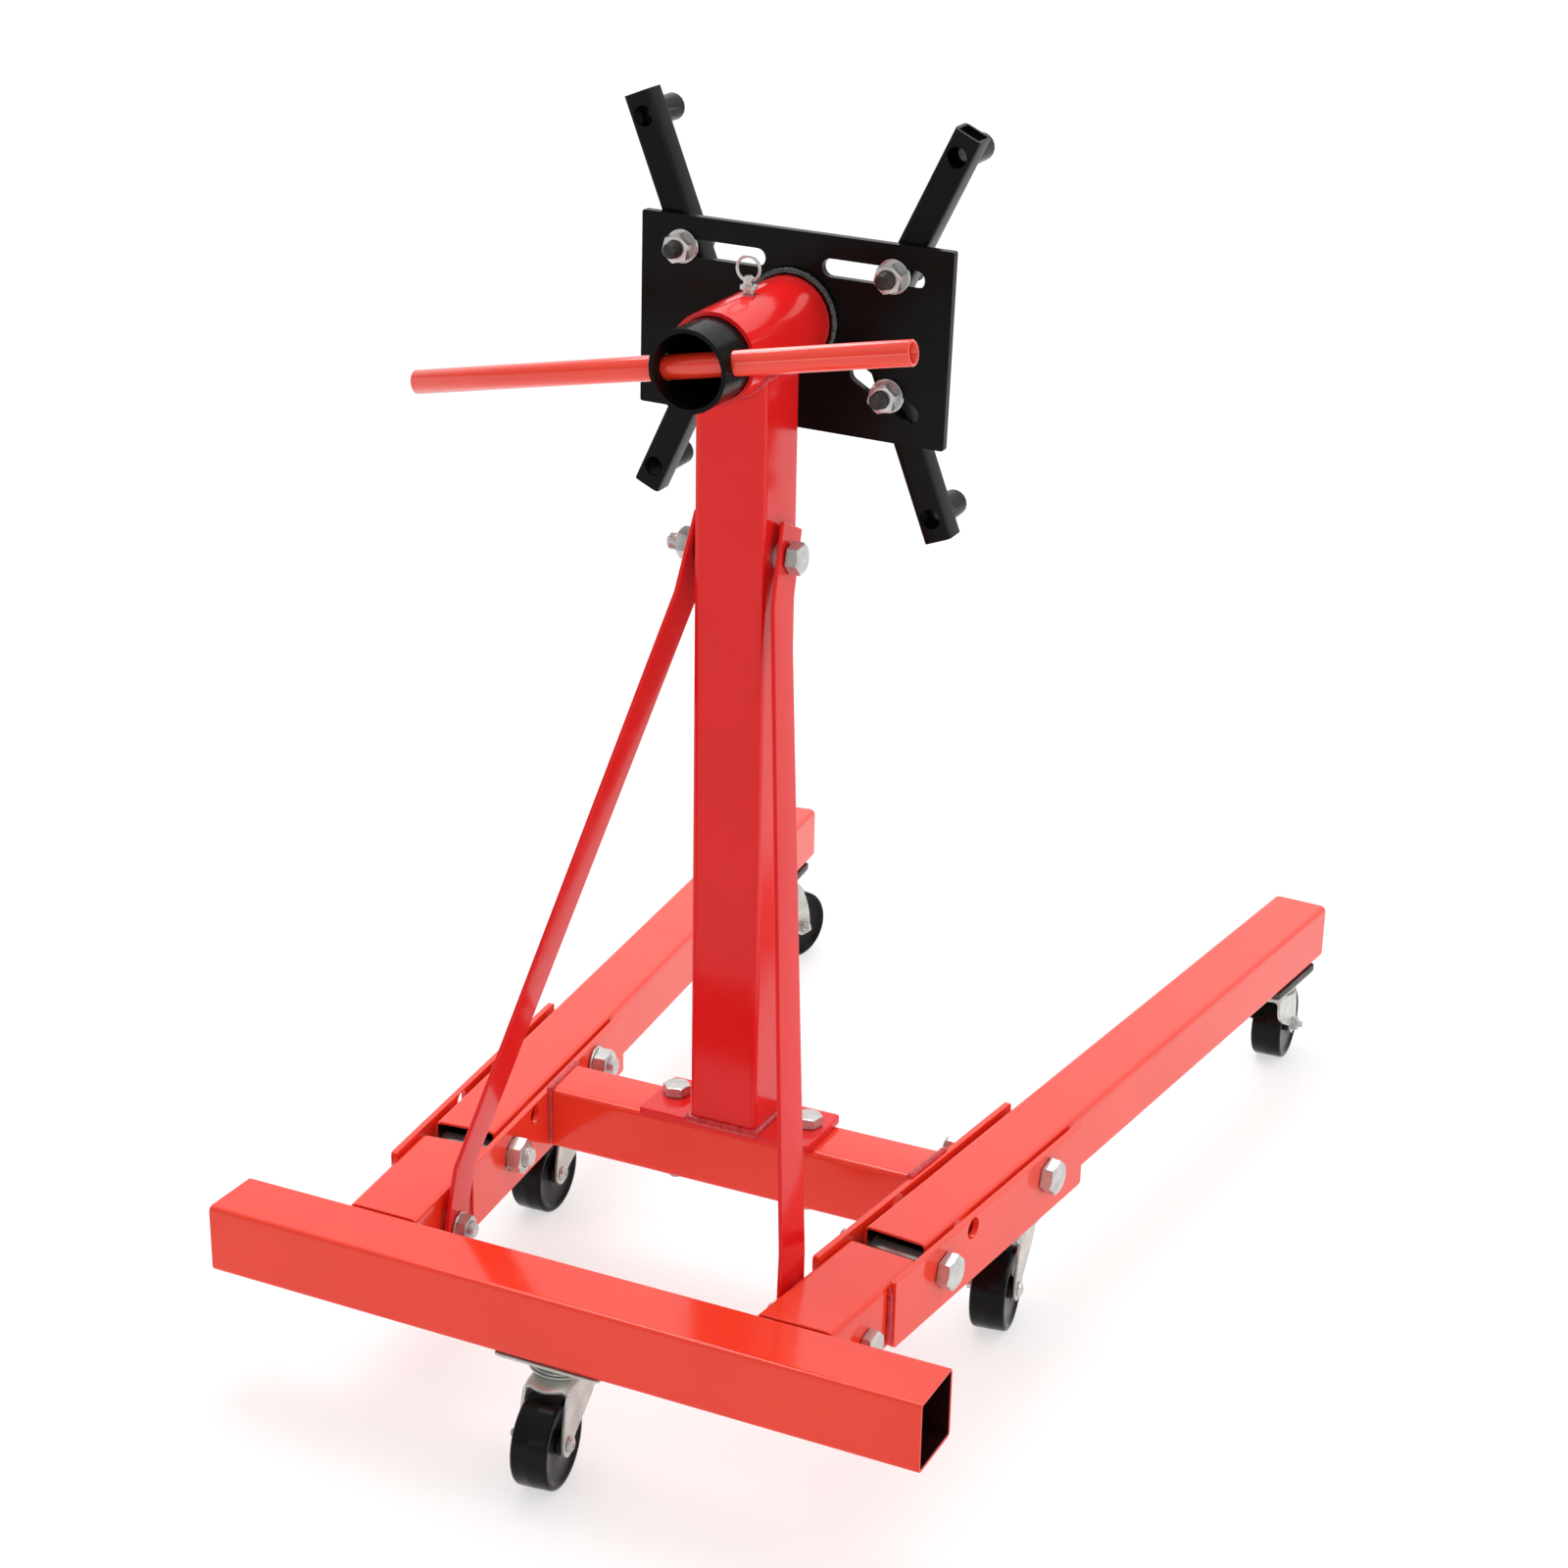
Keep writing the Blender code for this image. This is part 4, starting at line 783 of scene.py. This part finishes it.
def rounded_plate(bm, width, length, low, high, corner=PLATE_CORNER):
    """Plate with round corners and softened rims."""
    def outline(inset, height):
        points = []
        for quarter, (sx, sy) in enumerate(((1, 1), (-1, 1), (-1, -1), (1, -1))):
            for step in range(PLATE_CORNER_STEPS + 1):
                angle = math.radians(90) * (quarter + step / PLATE_CORNER_STEPS)
                points.append(Vector((
                    sx * (width / 2 - corner) + (corner - inset) * math.cos(angle),
                    sy * (length / 2 - corner) + (corner - inset) * math.sin(angle), height)))
        return points

    skin(bm, [outline(PLATE_RIM, low), outline(0.0, low + PLATE_RIM),
              outline(0.0, high - PLATE_RIM), outline(PLATE_RIM, high)],
         cap_start=True, cap_end=True)


def mount_detail(tag, matrix, body):
    """Top plate, dished upper race and kingpin head, with a packing plate where there is one."""
    width, length, sheet = PLATE_SIZE
    bm = bmesh.new()
    rounded_plate(bm, width, length, -sheet, -PLATE_GAP)
    skin(bm, turned(UPPER_RACE))
    skin(bm, turned([KINGPIN_TOP] + raised(KINGPIN_HEAD, CROWN_TOP - FORK_SHEET)), cap_end=True)
    piece(f"mount_{tag}", bm, (PRESSED_ZINC,), body, matrix, (f"caster_plate_{tag}",))
    size = PACKING.get(tag.split("_")[0])
    if size:
        block = bmesh.new()
        rounded_plate(block, size[0], size[1], -PACKING_SINK, size[2], PACKING_CORNER)
        piece(f"packing_{tag}", block, (PACKING_STEEL,), body, matrix)


def add_casters():
    for tag in CASTER_TAGS:
        fork_detail(tag)
        wheel_detail(tag)
        kingpin = Matrix.Translation(Vector(joints[f"caster_{tag}_swivel"]["pos_m"]))
        if tag == "rear":
            mount_detail(tag, kingpin @ Matrix.Rotation(math.radians(90), 4, "Z"), "frame")
            continue
        place, name = tag.split("_")
        turn = side_frame(name).to_3x3().to_4x4()
        mount_detail(tag, kingpin @ turn, "frame" if place == "mid" else f"leg_{name}")


# ---------------------------------------------------------------- head fittings
def add_bar():
    """Smooth tube for the handle bar, with rolled rims."""
    place, length = bolt_frame("handle_bar", joints["handle_bar_slide"]["axis"])
    profile = ((BAR_BORE, BAR_RIM), (BAR_BORE + BAR_RIM, 0.0), (BAR_RADIUS - BAR_RIM, 0.0),
               (BAR_RADIUS, BAR_RIM), (BAR_RADIUS, length - BAR_RIM),
               (BAR_RADIUS - BAR_RIM, length), (BAR_BORE + BAR_RIM, length),
               (BAR_BORE, length - BAR_RIM), (BAR_BORE, BAR_RIM))
    bm = bmesh.new()
    skin(bm, turned(profile))
    piece("bar_tube", bm, (RED_BAR,), "handle_bar", place, ("handle_bar",), smooth=60.0)


def add_pin_ring():
    """Round wire ring through the lock pin's eye."""
    lowest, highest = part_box("lock_pin_ring")
    centre = (lowest + highest) / 2
    radius = (highest.x - lowest.x) / 2 - RING_WIRE
    rings = []
    for i in range(RING_STEPS + 1):
        angle = 2 * math.pi * i / RING_STEPS
        out = Vector((math.cos(angle), 0.0, math.sin(angle)))
        ring = []
        for j in range(WIRE_STEPS):
            roll = 2 * math.pi * j / WIRE_STEPS
            across = Vector((0, RING_WIRE * math.sin(roll), 0))
            ring.append(out * (radius + RING_WIRE * math.cos(roll)) + across)
        rings.append(ring)
    bm = bmesh.new()
    skin(bm, rings)
    tilt = head_frame().to_3x3().to_4x4()
    piece("pin_ring_wire", bm, (ZINC,), "lock_pin_ring", Matrix.Translation(centre) @ tilt,
          ("lock_pin_ring",), smooth=60.0)


# ---------------------------------------------------------------- weld beads
def resample(points, spacing, closed):
    """Even steps along a run of straight pieces, and their length."""
    loop = points + points[:1] if closed else points
    lengths = [(b - a).length for a, b in zip(loop, loop[1:])]
    total = sum(lengths)
    count = max(4, round(total / spacing))
    made = []
    for k in range(count if closed else count + 1):
        along = total * k / count
        for a, b, length in zip(loop, loop[1:], lengths):
            if along <= length or (b is loop[-1]):
                made.append(a.lerp(b, min(1.0, along / length)))
                break
            along -= length
    return made, total / count


def run_frame(path, k, closed):
    """Two directions across a path at one of its points."""
    if closed:
        run = path[(k + 2) % len(path)] - path[k - 2]
    else:
        run = path[min(k + 2, len(path) - 1)] - path[max(k - 2, 0)]
    run.normalize()
    side = run.orthogonal().normalized()
    if abs(run.z) < UPRIGHT_RUN:
        side = run.cross(Vector((0, 0, 1))).normalized()
    return side, side.cross(run)


def bead(name, points, radius, body, material=RED_BEAD, closed=False, seed=1):
    """Weld bead of overlapping scallops along a path, uneven in width and tapered at its ends."""
    chance = random.Random(seed)
    least, swell = BEAD_SCALLOP
    kept, drawn, wobble_share = BEAD_WOBBLE
    end_share, taper = BEAD_TAPER
    path, spacing = resample(points, BEAD_STEP, closed)
    rings = []
    wobble = 0.0
    for k, point in enumerate(path):
        side, lift = run_frame(path, k, closed)
        wobble = kept * wobble + drawn * chance.uniform(-1, 1)
        phase = (k * spacing / BEAD_RIPPLE) % 1.0
        scallop = math.sqrt(max(0.0, 1 - (2 * phase - 1) ** 2))
        reach = radius * (least + swell * scallop + wobble_share * wobble)
        if not closed:
            from_end = min(k, len(path) - 1 - k) * spacing
            reach *= min(1.0, end_share + from_end / (taper * radius))
        ring = []
        for j in range(BEAD_SIDES):
            roll = 2 * math.pi * j / BEAD_SIDES
            ring.append(point + (side * math.cos(roll) + lift * math.sin(roll)) * reach)
        rings.append(ring)
    if closed:
        rings.append(rings[0])
    bm = bmesh.new()
    skin(bm, rings, cap_start=not closed, cap_end=not closed)
    piece(name, bm, (material,), body, smooth=75.0)


def post_welds():
    """Bead round the post's foot, and the saddle where the sleeve sits in the post's top."""
    low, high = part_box("post")
    foot_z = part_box("post_base_plate")[1].z + FOOT_WELD_RISE
    foot = [Vector((x, y, foot_z)) for x, y in
            ((low.x, low.y), (high.x, low.y), (high.x, high.y), (low.x, high.y))]
    bead("weld_post_foot", foot, BEAD_RADIUS["foot"], "frame", closed=True, seed=3)

    sleeve = joints["head_turn"]
    centre = Vector(sleeve["pos_m"])
    axis = Vector(sleeve["axis"])
    slope = axis.z / axis.y

    def saddle(x, y):
        drop = math.sqrt(SADDLE_RADIUS ** 2 - x ** 2) / axis.y
        return Vector((x, y, centre.z + (y - centre.y) * slope - drop))

    steps = [SADDLE_HALF * (2 * k / SADDLE_STEPS - 1) for k in range(SADDLE_STEPS + 1)]
    rim = [saddle(x, low.y) for x in steps] + [saddle(x, high.y) for x in reversed(steps)]
    bead("weld_saddle", rim, BEAD_RADIUS["saddle"], "frame", closed=True, seed=5)


def head_weld():
    """Bead where the turning tube meets the head plate."""
    turning = head_frame(HEAD_TURN)
    ring = []
    for k in range(HEAD_WELD_STEPS):
        angle = math.radians(360 * k / HEAD_WELD_STEPS)
        ring.append(turning @ Vector((HEAD_WELD_RADIUS * math.cos(angle), HEAD_WELD_ALONG,
                                      HEAD_WELD_RADIUS * math.sin(angle))))
    bead("weld_head_tube", ring, BEAD_RADIUS["head"], "head", BLACK_BEAD, closed=True, seed=7)


def side_welds(name, sign):
    """Beads on one leg's line: stub on the crossbar, side plates on the stub, crossmember's end."""
    line = side_frame(name)
    out, along, low, high = STUB_WELD
    for face, x in (("inner", -sign * out), ("outer", sign * out)):
        y = along + sign * x * math.tan(SPLAY)
        ends = [line @ Vector((x, y, z)) for z in (low, high)]
        bead(f"weld_stub_{name}_{face}", ends, BEAD_RADIUS["stub"], "frame", seed=11 + sign)
    out, along, low, high = PLATE_WELD
    for face, x in (("inner", -sign * out), ("outer", sign * out)):
        ends = [line @ Vector((x, along, z)) for z in (low, high)]
        bead(f"weld_plate_{name}_{face}", ends, BEAD_RADIUS["plate"], "frame", seed=21 + sign)

    # up, over and down the end of the crossmember, on the inner side plate's face
    low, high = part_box("crossmember")
    face_x = -sign * MEMBER_WELD_OUT
    foot = low.z + MEMBER_WELD_RISE
    path = []
    for y, z in ((low.y, foot), (low.y, high.z), (high.y, high.z), (high.y, foot)):
        spot = line.inverted() @ Vector((0.0, y, z))
        place = spot.y + (face_x - spot.x) * -line[1][0] / line[1][1]
        path.append(line @ Vector((face_x, place, z)))
    bead(f"weld_crossmember_{name}", path, BEAD_RADIUS["member"], "frame", seed=31 + sign)


def add_welds():
    post_welds()
    head_weld()
    for name, sign in (("left", -1), ("right", 1)):
        side_welds(name, sign)


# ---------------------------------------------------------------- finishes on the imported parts
def inside_shade_finishes():
    """Red enamel with a painted shade on the inside walls of the open tubes, by node."""
    made = {}
    upright = Vector((0, 0, 1))
    for node, across in (("rear_crossbar", Vector((0, 1, 0))),
                         ("leg_left", side_frame("left").col[0].to_3d()),
                         ("leg_right", side_frame("right").col[0].to_3d())):
        centre = Vector()
        half = []
        for axis in (across, upright):
            low, high = extent(node, axis)
            centre += axis * (low + high) / 2
            half.append((high - low) / 2)
        reach = min(half) - TUBE_WALL + WALL_SHARE
        # red enamel with painted shade on this tube's inside walls
        made[node] = red_enamel(f"red_enamel_{node}", (centre, (across, upright), reach))
    return made


def smooth_group():
    """Geometry nodes that shade a part smooth and leave its own mesh as it is."""
    group = bpy.data.node_groups.new("shade_smooth", "GeometryNodeTree")
    group.interface.new_socket("Geometry", in_out="INPUT", socket_type="NodeSocketGeometry")
    group.interface.new_socket("Geometry", in_out="OUTPUT", socket_type="NodeSocketGeometry")
    source = group.nodes.new("NodeGroupInput").outputs["Geometry"]
    for domain in ("FACE", "EDGE"):
        smooth = group.nodes.new("GeometryNodeSetShadeSmooth")
        smooth.domain = domain
        group.links.new(source, smooth.inputs["Geometry"])
        source = smooth.outputs["Geometry"]
    plain = group.nodes.new("GeometryNodeRemoveAttribute")
    plain.inputs["Name"].default_value = "custom_normal"
    group.links.new(source, plain.inputs["Geometry"])
    group.links.new(plain.outputs["Geometry"], group.nodes.new("NodeGroupOutput").inputs[0])
    return group


def dress_nodes():
    """Give every CAD node its finish and softened edges."""
    slots = {part["node"]: part["material_slot"] for part in frame["record"]["subparts"]}
    shaded_hollow = inside_shade_finishes()
    group = smooth_group()
    for name, obj in nodes.items():
        made = RED_DEEP if name in DEEP_NODES else SLOT_FINISHES[slots[name]][0]
        obj.data.materials.clear()
        # open tubes take the enamel with painted shade inside
        obj.data.materials.append(shaded_hollow.get(name, made))
        join = obj.modifiers.new("join", "WELD")
        join.merge_threshold = CAD_DOUBLES
        shade = obj.modifiers.new("smooth", "NODES")
        shade.node_group = group
        soften = obj.modifiers.new("edges", "BEVEL")
        soften.width = EDGE_ROUND
        soften.segments = 3
        soften.limit_method = "ANGLE"
        soften.angle_limit = EDGE_ANGLE
        flatten = obj.modifiers.new("normals", "WEIGHTED_NORMAL")
        flatten.weight = 100
        flatten.keep_sharp = True


# ---------------------------------------------------------------- floor, light and camera
def add_floor():
    bm = bmesh.new()
    corners = [bm.verts.new((sx * FLOOR_REACH, sy * FLOOR_REACH, 0.0))
               for sx, sy in ((-1, -1), (1, -1), (1, 1), (-1, 1))]
    bm.faces.new(corners)
    mesh = bpy.data.meshes.new("floor")
    bm.to_mesh(mesh)
    bm.free()
    floor = bpy.data.objects.new("floor", mesh)
    bpy.context.scene.collection.objects.link(floor)
    made, tree_nodes, _ = new_material("pale_floor")
    shader = tree_nodes["Principled BSDF"]
    shader.inputs["Base Color"].default_value = (FLOOR_GREY, FLOOR_GREY, FLOOR_GREY, 1.0)
    shader.inputs["Roughness"].default_value = 0.55
    shader.inputs["Specular IOR Level"].default_value = 0.2
    shader.inputs["Emission Color"].default_value = (1.0, 1.0, 1.0, 1.0)
    shader.inputs["Emission Strength"].default_value = FLOOR_GLOW
    mesh.materials.append(made)


def add_room():
    """White room: bright ceiling and far side, dim near side, and a white band at the horizon."""
    world = bpy.data.worlds.new("soft_room")
    world.use_nodes = True
    tree_nodes = world.node_tree.nodes
    links = world.node_tree.links
    direction = tree_nodes.new("ShaderNodeTexCoord").outputs["Generated"]
    split = tree_nodes.new("ShaderNodeSeparateXYZ")
    links.new(direction, split.inputs["Vector"])
    rise, depth = split.outputs["Z"], split.outputs["Y"]
    upper = map_range(tree_nodes, links, rise, (0.0, 1.0), (NEAR_LIGHT, CEILING_LIGHT))
    far = map_range(tree_nodes, links, depth, (0.0, 1.0), (0.0, BACKDROP_LIGHT))
    room = calculate(tree_nodes, links, "ADD", upper, far)
    height = calculate(tree_nodes, links, "ABSOLUTE", rise)
    band = map_range(tree_nodes, links, height, (SWEEP_TOP, SWEEP_FADE), (1.0, 0.0))
    background = tree_nodes["Background"]
    background.inputs["Color"].default_value = (1.0, 1.0, 1.0, 1.0)
    links.new(calculate(tree_nodes, links, "MAXIMUM", room, band), background.inputs["Strength"])
    bpy.context.scene.world = world


def add_softbox(name, place, target, size, power):
    data = bpy.data.lights.new(name, "AREA")
    data.shape = "RECTANGLE"
    data.size, data.size_y = size
    data.energy = power
    light = bpy.data.objects.new(name, data)
    light.location = place
    aim = Vector(target) - Vector(place)
    light.rotation_euler = aim.to_track_quat("-Z", "Y").to_euler()
    bpy.context.scene.collection.objects.link(light)


def add_camera():
    """Camera at the photograph's place."""
    back = Vector(CAMERA_BACK).normalized()
    right = Vector((math.cos(CAMERA_AZIMUTH), math.sin(CAMERA_AZIMUTH), 0.0))
    up = back.cross(right)
    right_rolled = math.cos(CAMERA_ROLL) * right + math.sin(CAMERA_ROLL) * up
    up_rolled = back.cross(right_rolled)
    data = bpy.data.cameras.new("photo_camera")
    data.sensor_width = CAMERA_SENSOR
    data.lens = CAMERA_LENS
    data.shift_x, data.shift_y = CAMERA_SHIFT
    camera = bpy.data.objects.new("photo_camera", data)
    camera.matrix_world = basis(right_rolled, up_rolled, back, Vector(CAMERA_PLACE))
    bpy.context.scene.collection.objects.link(camera)
    bpy.context.scene.camera = camera


dress_nodes()
add_fasteners()
add_casters()
add_bar()
add_pin_ring()
add_welds()
add_floor()
add_room()
for softbox in SOFTBOXES:
    add_softbox(*softbox)
add_camera()
bpy.context.scene.view_settings.view_transform = "Standard"
